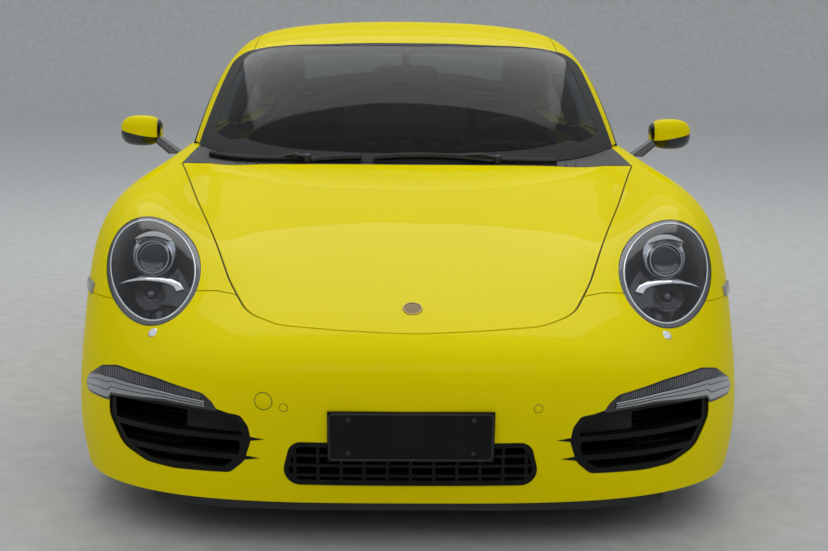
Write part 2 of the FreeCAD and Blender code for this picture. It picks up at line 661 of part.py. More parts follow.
LIP_PLAN = [(-640, 196, 0), (-560, 152, 60), (-440, 116, 200), (-250, 98, 400), (250, 98, 400), (440, 116, 200),
            (560, 152, 60), (640, 196, 0), (618, 236, 0), (520, 186, 60), (420, 158, 200), (240, 142, 400),
            (-240, 142, 400), (-420, 158, 200), (-520, 186, 60), (-618, 236, 0)]
keep("front_lip", from_above(LIP_PLAN, up(98), up(120) - SEAT))

TAIL_REAR = [(500, 676, 14), (500, 716, 14), (700, 742, 300), (930, 742, 0), (930, 655, 0), (760, 655, 60)]
tail_hole = from_front(TAIL_REAR, 3950, 4700, GAP)
tail = lower_wall.common(from_front(TAIL_REAR, 3950, 4700)).common(block(0, 1000, 3990, 4700, 0, 1500))
keep_both("tail_lamps", [largest(tail)])
for name in ("rear_bumper", "rear_wing_left", "rear_wing_right"):
    shape = pieces[name].Shape
    for hole in (tail_hole, flipped(tail_hole)):
        shape = shape.cut(hole.common(block(-1000, 1000, 3990 - GAP, 4700, 0, 1500)))
    pieces[name].Shape = largest(shape)

# Mirrors stand on the doors
def rounded(x, s0, s1, z0, z1, r):
    """A rounded rectangle on a plane across the car."""
    return outline([(s0, z0, r), (s0, z1, r), (s1, z1, r), (s1, z0, r)], lambda s, z: place(x, s, z))


MIRROR_SECTIONS = [
    # x, front s, back s, low z, high z, corner radius
    (852, 1782, 1838, 886, 946, 22),
    (880, 1752, 1846, 868, 964, 38),
    (930, 1746, 1846, 864, 968, 40),
    (972, 1764, 1842, 872, 958, 34),
    (989, 1788, 1832, 890, 938, 18),
]
head = Part.makeLoft([rounded(*section) for section in MIRROR_SECTIONS], True)
foot = Part.makeLoft([
    outline([(-26, -34, 12), (-26, 34, 12), (26, 34, 12), (26, -34, 12)],
            lambda a, b: place(800, 1800, 838) + Vector(a, b, 0)),
    outline([(-20, -22, 10), (-20, 22, 10), (20, 22, 10), (20, -22, 10)],
            lambda a, b: place(886, 1800, 905) + Vector(a, b, 0)),
], True, True)
mirror = head.fuse(foot).cut(lower_clear)
mirror = largest(mirror)
keep_pair("mirror", mirror)

# Platform: floor, rockers, tunnel, bulkheads, inner arches and rails in one shell
parts = [
    block(-790, 790, 1394, 3040, 128, 152),
    block(-790, -690, 1394, 3040, 128, 226),
    block(690, 790, 1394, 3040, 128, 226),
    block(-110, 110, 1394, 3200, 150, 330),
    block(-600, 600, 1396, 1420, 150, 770),
    block(-700, -655, 1396, 1672, 150, 740),
    block(655, 700, 1396, 1672, 150, 740),
    block(-700, 700, 1420, 1500, 740, 790),
    block(-560, 560, 2960, 2990, 150, 470),
    block(-560, 560, 2960, 3300, 446, 470),
    block(-560, 560, 3290, 3320, 446, 790),
    block(-560, 560, 3290, 3520, 766, 790),
    block(-420, -330, 120, 1400, 250, 330),
    block(330, 420, 120, 1400, 250, 330),
    block(-560, 560, 230, 290, 250, 330),
    block(-400, -310, 3300, 4300, 470, 540),
    block(310, 400, 3300, 4300, 470, 540),
    block(-600, 600, 4260, 4320, 460, 550),
]
platform = parts[0].multiFuse(parts[1:]).common(lower_inside(size("frame_wall") + SEAT))
tunnel_open = block(-86, 86, 1300, 2958, 100, 306)
platform = platform.cut(tunnel_open).cut(door_hole).cut(flipped(door_hole))
rests = [Part.makeCylinder(14, 400, place(0, 260, 329), Vector(0, 0, 1)).common(lower_inside(size("lid_wall") + SEAT))]
for x in (-500, 500):
    rest = Part.makeCylinder(12, 100, place(x, 1462, 765), Vector(0, 0, 1))
    rests.append(rest.common(lower_inside(size("lid_wall") + SEAT)))
for x in (-355, 355):
    rest = Part.makeCylinder(14, 600, place(x, 4100, 539), Vector(0, 0, 1))
    rests.append(rest.common(cabin_inside(size("roof_wall") + SEAT)))
    rests.append(Part.makeCylinder(14, 130, place(x, 4100, 539), Vector(0, 0, 1)))
arms = [hinge_arm(height, 0) for height in HINGE_HEIGHTS]
platform = platform.multiFuse(rests + arms + [flipped(arm) for arm in arms])
keep("platform", largest(platform))

TUB_SIDE = 330
tub = block(-TUB_SIDE, TUB_SIDE, 560, 1180, 262, 700)
tub = tub.cut(block(12 - TUB_SIDE, TUB_SIDE - 12, 572, 1168, 274, 800))
tub = tub.common(Part.makeBox(2 * across(TUB_SIDE) - 2 * SEAT, 5000, 2000, Vector(SEAT - across(TUB_SIDE), -2500, 0)))
tub = tub.common(lower_inside(size("lid_wall") + SHUT + 20))
keep("luggage_tub", largest(tub))

engine = block(-310, 310, 3560, 4140, 236, 640)
keep("engine", engine.common(Part.makeBox(2 * across(310) - 2 * SEAT, 5000, 2000, Vector(SEAT - across(310), -2500, 0))))
exhaust = block(-430, 430, 4140, 4330, 250, 380)
exhaust.translate(Vector(0, SEAT, 0))
for x in (-420, 330):
    tip = Part.makeCylinder(42, 150, place(x + 45, 4320, 300), Vector(0, 1, 0))
    tip = tip.cut(Part.makeCylinder(37, 150, place(x + 45, 4330, 300), Vector(0, 1, 0)))
    exhaust = exhaust.fuse(tip)
keep("exhaust", exhaust)

# Wheel house liners: a ring over the wheel and a wall on its inner side
def liner(end, outer_extra, inner_x, inner_drop, low, wall):
    centre = Vector(0, wheel_y[end], wheel_z[end])
    radius = size("tyre_radius_" + end) + size("arch_gap") + outer_extra
    thick = size("liner_wall")
    shoulder = wheel_x[end] - size("kingpin_inset")

    def ring(less):
        narrow = Part.makeCircle(radius - inner_drop - less, centre + Vector(across(inner_x), 0, 0), Vector(1, 0, 0))
        wide = Part.makeCircle(radius - less, centre + Vector(shoulder, 0, 0), Vector(1, 0, 0))
        far = Part.makeCircle(radius - less, centre + Vector(across(1000), 0, 0), Vector(1, 0, 0))
        return Part.makeLoft([Part.Wire(circle) for circle in (narrow, wide, far)], True, True)
    shell = ring(0).cut(ring(thick).common(block(inner_x, 1100, -200, 4800, -200, 1500)))
    plate = Part.makeCylinder(radius - inner_drop, thick, centre + Vector(across(inner_x) - thick, 0, 0), Vector(1, 0, 0))
    shell = shell.fuse(plate).common(block(400, 1000, 0, 4600, low, 1200))
    shell = shell.common(lower_inside(size(wall) + SEAT)).cut(door_hole).cut(lid_space)
    if end == "front":
        shell = shell.cut(lamp_hole)
    return largest(shell)


lid_space = lower.cut(lower_inside(size("lid_wall") + SHUT)).common(bonnet_hole)
keep_both("front_liners", [liner("front", size("steer_room"), 466, 69, SILL_TOP + 4, "panel_wall")])
keep_both("rear_liners", [liner("rear", 8, 580, 30, 330, "frame_wall")])

# Seats, dashboard, console
def seat(x, s):
    pad = outline([(-250, 0, 60), (-250, 480, 90), (250, 480, 90), (250, 0, 60)], lambda a, b: place(x, s, 0) + Vector(a, b, 0))
    cushion = Part.Face(pad).extrude(Vector(0, 0, 150))
    cushion.translate(Vector(0, 0, up(250)))
    back = Part.Face(outline([(-250, 0, 60), (-240, 480, 80), (-130, 600, 60), (-130, 770, 50), (130, 770, 50),
                              (130, 600, 60), (240, 480, 80), (250, 0, 60)], lambda a, b: Vector(a, 0, b)))
    back = back.extrude(Vector(0, 120, 0))
    back.rotate(Vector(0, 0, 0), Vector(1, 0, 0), -18)
    back.translate(place(x, s + 420, 290))
    rails = block(x - 200, x - 170, s + 40, s + 440, 152, 256).fuse(block(x + 170, x + 200, s + 40, s + 440, 152, 256))
    return cushion.fuse(back).fuse(rails)


keep_both("seats", [seat(370, 2020)])
rear_seats = []
for x in (-290, 290):
    rear_seats.append(block(x - 215, x + 215, 2966, 3232, 470, 540))
    rear_seats.append(block(x - 215, x + 215, 3232.3, 3290, 470, 780))
keep("rear_seats", Part.makeCompound(rear_seats))
dash = Part.Face(outline([(1500, 800, 10), (1560, 850, 40), (1760, 870, 120), (1900, 830, 40), (1890, 740, 60),
                          (1790, 620, 60), (1700, 560, 0), (1500, 560, 0)], lambda s, z: place(-650, s, z)))
dash = dash.extrude(Vector(2 * across(650), 0, 0)).cut(door_hole).cut(flipped(door_hole))
dash = dash.common(lower_inside(size("frame_wall") + SEAT))
console = Part.Face(outline([(1600, 330, 0), (1600, 560, 0), (1760, 556, 60), (2150, 420, 60), (2700, 400, 40), (2700, 330, 0)],
                            lambda s, z: place(-90, s, z))).extrude(Vector(2 * across(90), 0, 0))
keep("console", console)
WHEEL = (370, 2010, 780)
grip = Part.makeTorus(size("steering_radius"), size("steering_grip"))
hub = Part.makeCylinder(55, 50, Vector(0, 0, -50))
column = Part.makeCylinder(32, 110, Vector(0, 0, -150))
spokes = []
for angle in (0, 180, 270):
    spoke = Part.makeBox(size("steering_radius"), 34, 18, Vector(0, -17, -24))
    spoke.rotate(Vector(0, 0, 0), Vector(0, 0, 1), angle)
    spokes.append(spoke)
wheel = grip.multiFuse([hub, column] + spokes)
wheel.rotate(Vector(0, 0, 0), Vector(1, 0, 0), -65)
wheel.translate(place(*WHEEL))
keep("steering_wheel", wheel)
socket = Part.makeCylinder(32 + SEAT, 300, Vector(0, 0, -150 - SEAT))
socket.rotate(Vector(0, 0, 0), Vector(1, 0, 0), -65)
socket.translate(place(*WHEEL))
keep("dashboard", largest(dash.cut(socket)))

glass_mirror = Part.makeBox(240, 26, 74, Vector(-120, -13, -37))
glass_mirror.translate(place(0, 2160, 1110))
stem = Part.makeCylinder(9, 200, place(0, 2160, 1130), Vector(0, 0, 1))
stem = stem.common(cabin_inside(size("roof_wall") + SEAT))
keep("interior_mirror", glass_mirror.fuse(stem))

# Wheels: rim, tyre and brake disc turn together; their profiles are (x, radius) about the axle
def plane(body, role):
    return [feature for feature in body.Origin.OriginFeatures if feature.Role == role][0]


def sketch(body, name, role, corners):
    """A closed outline whose corners are pairs of expressions on the sheet."""
    drawing = body.newObject("Sketcher::SketchObject", name)
    drawing.AttachmentSupport = [(plane(body, role), "")]
    drawing.MapMode = "FlatFace"
    points = [Vector(float(sheet.evalExpression(a)), float(sheet.evalExpression(b)), 0) for a, b in corners]
    count = len(points)
    for i in range(count):
        drawing.addGeometry(Part.LineSegment(points[i], points[(i + 1) % count]), False)
    for i in range(count):
        drawing.addConstraint(Sketcher.Constraint("Coincident", i, 2, (i + 1) % count, 1))
    for i, (a, b) in enumerate(corners):
        for kind, text, value, axis in (("DistanceX", a, points[i].x, -2), ("DistanceY", b, points[i].y, -1)):
            if abs(value) < 1e-9:
                drawing.addConstraint(Sketcher.Constraint("PointOnObject", i, 1, axis))
            else:
                index = drawing.addConstraint(Sketcher.Constraint(kind, -1, 1, i, 1, value))
                drawing.setExpression("Constraints[%d]" % index, text)
    return drawing


def revolved(body, name, corners):
    drawing = sketch(body, name + "_profile", "XZ_Plane", corners)
    turned = body.newObject("PartDesign::Revolution", name)
    turned.Profile = drawing
    turned.ReferenceAxis = (drawing, ["H_Axis"])
    turned.Angle = 360
    return turned


def windows(body, name, corners, count, turn=0):
    """Openings through the wheel, seen along its axle, repeated around it."""
    drawing = sketch(body, name + "_outline", "YZ_Plane", corners)
    drawing.AttachmentOffset = Placement(Vector(0, 0, 0), Rotation(Vector(0, 0, 1), turn))
    pocket = body.newObject("PartDesign::Pocket", name)
    pocket.Profile = drawing
    pocket.Type = 1
    pocket.SideType = "Symmetric"
    doc.recompute()
    pattern = body.newObject("PartDesign::PolarPattern", name + "_pattern")
    pattern.Originals = [pocket]
    pattern.Axis = (plane(body, "X_Axis"), [""])
    pattern.Angle = 360
    pattern.Occurrences = count
    body.Tip = pattern
    doc.recompute()
    return pattern


def at_wheel(body, end, side):
    """Puts a body that is made about the origin at its wheel's centre."""
    sign = 1 if side == "left" else -1
    if side == "right":
        body.Placement = Placement(Vector(0, 0, 0), Rotation(Vector(0, 0, 1), 180))
    half = "(Sizes.body_width / 2 - Sizes.wheel_inset - Sizes.tyre_width_%s / 2)" % end
    middle = "(Sizes.front_overhang + Sizes.wheelbase + Sizes.rear_overhang) / 2"
    axle = "Sizes.front_overhang" if end == "front" else "Sizes.front_overhang + Sizes.wheelbase"
    body.setExpression(".Placement.Base.x", "%d * %s" % (sign, half))
    body.setExpression(".Placement.Base.y", "%s - %s" % (axle, middle))
    body.setExpression(".Placement.Base.z", "Sizes.tyre_radius_%s" % end)


OCTAGON = [(round(math.cos(math.radians(a)), 4), round(math.sin(math.radians(a)), 4)) for a in range(0, 360, 45)]

for end in ("front", "rear"):
    W = "Sizes.tyre_width_%s / 2" % end
    R = "Sizes.rim_radius"
    T = "Sizes.tyre_radius_%s" % end
    H = "(%s - Sizes.rim_dish)" % W
    for side in ("left", "right"):
        tag = "_%s_%s" % (end, side)
        rim = doc.addObject("PartDesign::Body", "rim" + tag)
        rim.Label = "rim" + tag
        revolved(rim, "barrel" + tag, [
            ("-(%s - 10)" % W, R + " + 12"), ("-(%s - 15)" % W, R + " + 12"), ("-(%s - 20)" % W, R),
            (W + " - 20", R), (W + " - 15", R + " + 12"), (W + " - 8", R + " + 12"), (W + " - 8", R + " - 2"),
            (W + " - 30", R + " - Sizes.rim_wall"), ("-(%s - 10)" % W, R + " - Sizes.rim_wall")])
        revolved(rim, "dish" + tag, [
            (H, "36"), (H, "Sizes.hub_radius"), (H + " + 14", "Sizes.hub_radius + 20"),
            (H + " + 26", R + " - 60"), (W + " - 30", R + " - Sizes.rim_wall + 2"), (W + " - 9", R + " - 6"),
            (W + " - 12", R + " - 50"), (H + " + Sizes.spoke_depth", "Sizes.hub_radius + 40"),
            (H + " + 24", "Sizes.hub_radius"), (H + " + 24", "36")])
        low, high = "Sizes.hub_radius + 26", R + " - 24"
        windows(rim, "wide" + tag, [
            ("-14", low), ("14", low), ("Sizes.windows_wide", high + " - 20"), ("Sizes.windows_wide - 14", high),
            ("14 - Sizes.windows_wide", high), ("-Sizes.windows_wide", high + " - 20")], 5)
        windows(rim, "narrow" + tag, [
            ("-4", low + " + 12"), ("4", low + " + 12"), ("Sizes.windows_narrow", high + " - 12"),
            ("Sizes.windows_narrow - 6", high), ("6 - Sizes.windows_narrow", high),
            ("-Sizes.windows_narrow", high + " - 12")], 5, 36)
        B = "Sizes.bolt_circle / 2"
        bolt_outline = [("%s * Sizes.bolt_hole" % a, B + " + %s * Sizes.bolt_hole" % b) for a, b in OCTAGON]
        windows(rim, "bolts" + tag, bolt_outline, 5, 36)
        tyre = doc.addObject("PartDesign::Body", "tyre" + tag)
        tyre.Label = "tyre" + tag
        revolved(tyre, "tread" + tag, [
            ("-(%s - 21)" % W, R + " + 0.3"), ("-(%s - 15.5)" % W, R + " + 13"), ("-(%s - 3)" % W, R + " + 26"),
            ("-(%s)" % W, R + " + 44"), ("-(%s - 5)" % W, T + " - 24"), ("-(%s - 18)" % W, T + " - 7"),
            ("-(%s - 44)" % W, T), (W + " - 44", T), (W + " - 18", T + " - 7"), (W + " - 5", T + " - 24"),
            (W, R + " + 44"), (W + " - 3", R + " + 26"), (W + " - 15.5", R + " + 13"), (W + " - 21", R + " + 0.3")])
        disc = doc.addObject("PartDesign::Body", "brake_disc" + tag)
        disc.Label = "brake_disc" + tag
        revolved(disc, "hat" + tag, [
            (H + " - 50 - Sizes.disc_width / 2", "Sizes.hub_radius + 14"), (H + " - 50 - Sizes.disc_width / 2", "Sizes.disc_radius"),
            (H + " - 50 + Sizes.disc_width / 2", "Sizes.disc_radius"), (H + " - 50 + Sizes.disc_width / 2", "Sizes.hub_radius + 14"),
            (H + " - 0.3", "Sizes.hub_radius + 6"), (H + " - 0.3", "36"), (H + " - 9", "36"),
            (H + " - 9", "Sizes.hub_radius")])
        for body in (rim, tyre, disc):
            at_wheel(body, end, side)
            pieces[body.Label] = body
doc.recompute()

# Uprights and hubs, made for the left side about the wheel centre
def upright(end):
    """Upright, hub and brake caliper, about the wheel centre."""
    face = size("tyre_width_" + end) / 2 - size("rim_dish")
    disc_x = face - 50
    disc_half = size("disc_width") / 2
    reach = size("disc_radius")
    stub = Part.makeCylinder(size("hub_radius") - 14, face - 9 - SEAT + 110, Vector(-110, 0, 0), Vector(1, 0, 0))
    post = Part.makeBox(60, 90, 152 - SEAT + 180, Vector(-110, -45, SEAT - 152))
    caliper = Part.makeCylinder(reach + 28, disc_half * 2 + 56, Vector(disc_x - disc_half - 28, 0, 0), Vector(1, 0, 0), 76)
    caliper = caliper.cut(Part.makeCylinder(reach - 66, 300, Vector(-150, 0, 0), Vector(1, 0, 0)))
    slot = Part.makeCylinder(reach + 6, disc_half * 2 + 11, Vector(disc_x - disc_half - 5.5, 0, 0), Vector(1, 0, 0))
    caliper = caliper.cut(slot)
    caliper.rotate(Vector(0, 0, 0), Vector(1, 0, 0), -38)
    bracket = Part.makeBox(disc_x - disc_half - 8 + 100, reach - 40, 60, Vector(-100, 0, -30))
    body = stub.multiFuse([post, bracket, caliper])
    body.translate(Vector(wheel_x[end], wheel_y[end], wheel_z[end]))
    return body


front_upright = upright("front")
rear_upright = upright("rear")
keep_pair("knuckle", largest(front_upright))

# Suspension: cross-members, arms and spring units
kingpin_x = wheel_x["front"] - size("kingpin_inset")
fy, fz = wheel_y["front"], wheel_z["front"]
arm = Part.Face(outline([(kingpin_x - 16, 30, 10), (kingpin_x - 16, -30, 10), (400, -170, 20), (360, -140, 10),
                         (360, 140, 10), (400, 170, 20)], lambda a, b: Vector(a, fy + b, fz - 176)))
arm = arm.extrude(Vector(0, 0, 24))
cross = Part.makeBox(2 * across(400), 120, up(250) - (fz - 176), Vector(-across(400), fy - 60, fz - 176))
spring = Part.makeCylinder(36, 300, Vector(552, fy, fz - 153), Vector(0, 0, 1))
rod = Part.makeCylinder(14, 211, Vector(552, fy, fz + 140), Vector(0, 0, 1))
front_susp = cross.multiFuse([arm, flipped(arm), spring, flipped(spring), rod, flipped(rod)])
keep("front_suspension", largest(front_susp))

ry, rz = wheel_y["rear"], wheel_z["rear"]
beam_x = wheel_x["rear"] - 60
beam = Part.makeBox(2 * beam_x, 100, 60, Vector(-beam_x, ry - 50, rz - 150))
post = Part.makeBox(across(400) - across(310), 100, up(470) - (rz - 100), Vector(across(310), ry - 50, rz - 100))
rear_susp = beam.multiFuse([post, flipped(post), rear_upright, flipped(rear_upright)])
keep("rear_suspension", largest(rear_susp))

for x in (-375, 375):
    pieces["rear_bumper"].Shape = largest(pieces["rear_bumper"].Shape.cut(
        Part.makeCylinder(50, 400, place(x, 4200, 300), Vector(0, 1, 0))))

doc.recompute()
for item in doc.Objects:
    if "Invalid" in item.State or "Error" in item.State:
        raise RuntimeError("not built: " + item.Label)
for name, feature in pieces.items():
    shape = feature.Shape
    if shape.isNull() or not shape.isValid():
        raise RuntimeError("not a valid shape: " + name)
os.makedirs("parts", exist_ok=True)
for name, feature in pieces.items():
    feature.Shape.exportStep("parts/%s.step" % name)
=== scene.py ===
# %% [markdown]
# # A yellow coupe in a photo studio
# The car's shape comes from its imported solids. This lesson gives it paint, glass, rubber and
# leather, and adds what is too fine or too soft for the solids: lamp insides, tread, wipers,
# seals, cushions and small trim. First the solids are loaded and measured.

# %% Load the car's solids
import bpy
import bmesh
import json
import math
from functools import partial
from mathutils import Matrix, Vector
from mathutils.bvhtree import BVHTree


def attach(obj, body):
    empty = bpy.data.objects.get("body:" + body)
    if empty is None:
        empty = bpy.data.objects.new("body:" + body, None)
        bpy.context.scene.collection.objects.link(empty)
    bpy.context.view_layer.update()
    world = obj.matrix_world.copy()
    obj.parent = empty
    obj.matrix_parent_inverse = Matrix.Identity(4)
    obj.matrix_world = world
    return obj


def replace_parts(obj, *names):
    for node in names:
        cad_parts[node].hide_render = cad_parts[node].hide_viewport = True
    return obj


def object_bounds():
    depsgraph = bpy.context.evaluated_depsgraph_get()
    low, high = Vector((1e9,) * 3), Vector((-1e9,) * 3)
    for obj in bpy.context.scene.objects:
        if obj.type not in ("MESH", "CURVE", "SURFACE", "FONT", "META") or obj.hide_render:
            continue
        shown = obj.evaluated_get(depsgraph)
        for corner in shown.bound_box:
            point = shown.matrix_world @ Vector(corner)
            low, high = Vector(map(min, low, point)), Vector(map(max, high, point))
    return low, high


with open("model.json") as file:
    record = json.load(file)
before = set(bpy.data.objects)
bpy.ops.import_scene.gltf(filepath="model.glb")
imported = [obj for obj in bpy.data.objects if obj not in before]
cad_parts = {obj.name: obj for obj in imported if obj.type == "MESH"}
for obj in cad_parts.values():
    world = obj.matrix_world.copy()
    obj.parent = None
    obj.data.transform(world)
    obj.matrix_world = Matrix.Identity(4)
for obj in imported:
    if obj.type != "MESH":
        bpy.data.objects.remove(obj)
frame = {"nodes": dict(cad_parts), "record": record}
nodes = frame["nodes"]
cad_box = [list(corner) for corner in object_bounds()]
print("solids:", len(nodes), "box:", [[round(v, 3) for v in corner] for corner in cad_box])

# %% [markdown]
# ## Groups of nodes
# An effect that several materials share, such as the grain of a moulding, is best made once as
# a node group. A group gives out only masks and heights, so every material keeps its own shader
# and can be exported. The helpers below make an empty group with named sockets, and a node.

# %% Helpers for node groups
NUMBER = "NodeSocketFloat"


def new_group(name, control, value, outputs):
    """An empty group with one number to set, and named numbers as its outputs."""
    group = bpy.data.node_groups.new(name, "ShaderNodeTree")
    socket = group.interface.new_socket(name=control, in_out="INPUT", socket_type=NUMBER)
    socket.default_value = value
    for label in outputs:
        group.interface.new_socket(name=label, in_out="OUTPUT", socket_type=NUMBER)
    return group, group.nodes.new("NodeGroupInput"), group.nodes.new("NodeGroupOutput")


def add(tree, kind, settings=None, **links):
    """A node with its settings; links maps a socket's name or number to a value or an output."""
    node = tree.nodes.new(kind)
    for key, value in (settings or {}).items():
        setattr(node, key, value)
    for key, value in links.items():
        numbered = key[0] == "i" and key[1:].isdigit()
        socket = node.inputs[int(key[1:]) if numbered else key.replace("_", " ")]
        if isinstance(value, bpy.types.NodeSocket):
            tree.links.new(value, socket)
        else:
            socket.default_value = value
    return node


def reckon(tree, operation, *values):
    """The output of a Math node; each value is a number or another node's output."""
    inputs = {f"i{k}": value for k, value in enumerate(values)}
    return add(tree, "ShaderNodeMath", {"operation": operation}, **inputs).outputs["Value"]


# %% [markdown]
# ## Grain and unevenness
# Paint is never quite even: sprayed lacquer dries with a faint ripple. Plastic mouldings have an
# etched grain, and leather has creases round small cells. Each is a height for a Bump node.
# The texture is placed by the object's own coordinates, in metres, so no unwrapping is needed.
# The first output of each group is its height, and the second is a mask between 0 and 1.

# %% Make the shared groups
def ripple_group():
    """A soft ripple, and a slow drift for colour."""
    group, start, end = new_group("lacquer_ripple", "Size", 90.0, ["Height", "Drift"])
    where = add(group, "ShaderNodeTexCoord").outputs["Object"]
    ripple = add(group, "ShaderNodeTexNoise", Vector=where, Scale=start.outputs["Size"], Detail=1.0)
    drift = add(group, "ShaderNodeTexNoise", Vector=where, Scale=1.3, Detail=2.0)
    group.links.new(ripple.outputs["Fac"], end.inputs["Height"])
    group.links.new(drift.outputs["Fac"], end.inputs["Drift"])
    return group


def grain_group():
    """Fine etched grain with broader patches."""
    group, start, end = new_group("moulded_grain", "Size", 900.0, ["Height", "Patches"])
    where = add(group, "ShaderNodeTexCoord").outputs["Object"]
    fine = add(group, "ShaderNodeTexNoise", Vector=where, Scale=start.outputs["Size"], Detail=3.0)
    wide = add(group, "ShaderNodeTexNoise", Vector=where, Scale=14.0, Detail=4.0)
    group.links.new(fine.outputs["Fac"], end.inputs["Height"])
    group.links.new(wide.outputs["Fac"], end.inputs["Patches"])
    return group


def hide_group():
    """Leather: cells with creases between them."""
    group, start, end = new_group("hide_creases", "Size", 420.0, ["Height", "Creases"])
    where = add(group, "ShaderNodeTexCoord").outputs["Object"]
    cells = add(group, "ShaderNodeTexVoronoi", {"feature": "DISTANCE_TO_EDGE"}, Vector=where,
                Scale=start.outputs["Size"])
    creases = add(group, "ShaderNodeMapRange", Value=cells.outputs["Distance"], From_Max=0.18)
    wide = add(group, "ShaderNodeTexNoise", Vector=where, Scale=22.0, Detail=3.0)
    both = reckon(group, "ADD", creases.outputs["Result"], wide.outputs["Fac"])
    group.links.new(both, end.inputs["Height"])
    group.links.new(creases.outputs["Result"], end.inputs["Creases"])
    return group


RIPPLE = ripple_group()
GRAIN = grain_group()
HIDE = hide_group()
print("groups:", [group.name for group in bpy.data.node_groups])

# %% [markdown]
# ## A material from a shader and a group
# Every finish below has the same frame: one Principled shader, a group for its fine relief, and
# a ramp that turns the group's mask into two close colours. What differs is set by each finish.

# %% A helper for finishes
def finish_of(name, low, high, group, size, relief, depth, rough, spread=0.0, **sockets):
    """A material between colours low and high, with the group's height as its relief.

    size goes into the group, relief is the bump's strength and depth its distance in metres. The
    mask also moves the roughness by spread to either side, and sockets are the shader's own.
    """
    material = bpy.data.materials.new(name)
    material.use_nodes = True
    tree = material.node_tree
    shader = tree.nodes["Principled BSDF"]
    height, mask = add(tree, "ShaderNodeGroup", {"node_tree": group}, Size=size).outputs
    ramp = add(tree, "ShaderNodeValToRGB", Fac=mask)
    for element, position, colour in zip(ramp.color_ramp.elements, (0.3, 0.7), (low, high)):
        element.position = position
        element.color = (*colour, 1)
    tree.links.new(ramp.outputs["Color"], shader.inputs["Base Color"])
    shader.inputs["Roughness"].default_value = rough
    if spread:
        gloss = add(tree, "ShaderNodeMapRange", Value=mask, To_Min=rough - spread, To_Max=rough + spread)
        tree.links.new(gloss.outputs["Result"], shader.inputs["Roughness"])
    bump = add(tree, "ShaderNodeBump", Height=height, Strength=relief, Distance=depth)
    tree.links.new(bump.outputs["Normal"], shader.inputs["Normal"])
    for key, value in sockets.items():
        shader.inputs[key.replace("_", " ")].default_value = value
    return material


# %% [markdown]
# ## Paint, plastic, metal and leather
# The yellow is a solid colour under clear lacquer, so the shader has no metal in it and a light
# coat on top. Bumper inserts and grilles are black polypropylene, brackets and floor are painted
# steel, wheels are silver alloy, and the seats are black leather.

# %% Make the body's finishes
paint = finish_of("paint_yellow", (0.90, 0.74, 0.0), (0.93, 0.77, 0.0), RIPPLE, 160.0, 0.02, 0.0004,
                  0.42, 0.03, Coat_Weight=0.22, Coat_Roughness=0.02, Coat_IOR=1.35,
                  Specular_IOR_Level=0.0)
plastic = finish_of("plastic_black", (0.008, 0.008, 0.009), (0.016, 0.016, 0.017), GRAIN, 1400.0,
                    0.25, 0.0004, 0.55, 0.06)
grille_black = finish_of("grille_black", (0.003, 0.003, 0.003), (0.006, 0.006, 0.006), GRAIN, 1400.0,
                         0.25, 0.0004, 0.5, 0.06, Specular_IOR_Level=0.2)
gloss_black = finish_of("lacquer_black", (0.006, 0.006, 0.007), (0.01, 0.01, 0.011), RIPPLE, 120.0,
                        0.03, 0.0004, 0.12, 0.02, Coat_Weight=0.6, Coat_Roughness=0.04)
structure = finish_of("primed_steel", (0.03, 0.03, 0.032), (0.06, 0.06, 0.062), GRAIN, 300.0,
                      0.3, 0.0008, 0.5, 0.1, Metallic=0.3)
alloy = finish_of("wheel_silver", (0.42, 0.43, 0.44), (0.52, 0.53, 0.54), GRAIN, 1800.0,
                  0.08, 0.0002, 0.28, 0.04, Metallic=0.85, Coat_Weight=0.7, Coat_Roughness=0.06)
steel = finish_of("machined_steel", (0.34, 0.34, 0.35), (0.5, 0.5, 0.5), GRAIN, 700.0,
                  0.2, 0.0003, 0.33, 0.06, Metallic=1.0)
iron = finish_of("cast_iron", (0.06, 0.055, 0.05), (0.13, 0.12, 0.11), GRAIN, 220.0,
                 0.5, 0.001, 0.55, 0.12, Metallic=0.6)
rubber = finish_of("tyre_rubber", (0.013, 0.013, 0.014), (0.024, 0.024, 0.025), GRAIN, 600.0,
                   0.3, 0.0006, 0.72, 0.08)
leather = finish_of("leather_black", (0.008, 0.008, 0.009), (0.02, 0.019, 0.02), HIDE, 420.0,
                    0.25, 0.0007, 0.42, 0.05)
print("finishes:", len(bpy.data.materials))

# %% [markdown]
# ## Painted outside, trimmed inside
# A body panel is one closed solid, so its inner face has the same material slot as its skin. In
# a finished car that face is covered in dark trim. A mask tells the two apart by the direction of
# the surface: inside the cabin's length, what faces the middle of the car is trim. So are the
# steep edges round the windows, which the black borders of the glass hide on the real car.

# %% Give the paint its trimmed inner side
CABIN_FRONT, CABIN_BACK, LAST_WINDOW = -0.74, 1.2, 1.6
WAIST = 0.79
TRIM_REACH = 0.775
TRIM_COLOUR = (0.014, 0.014, 0.015, 1)


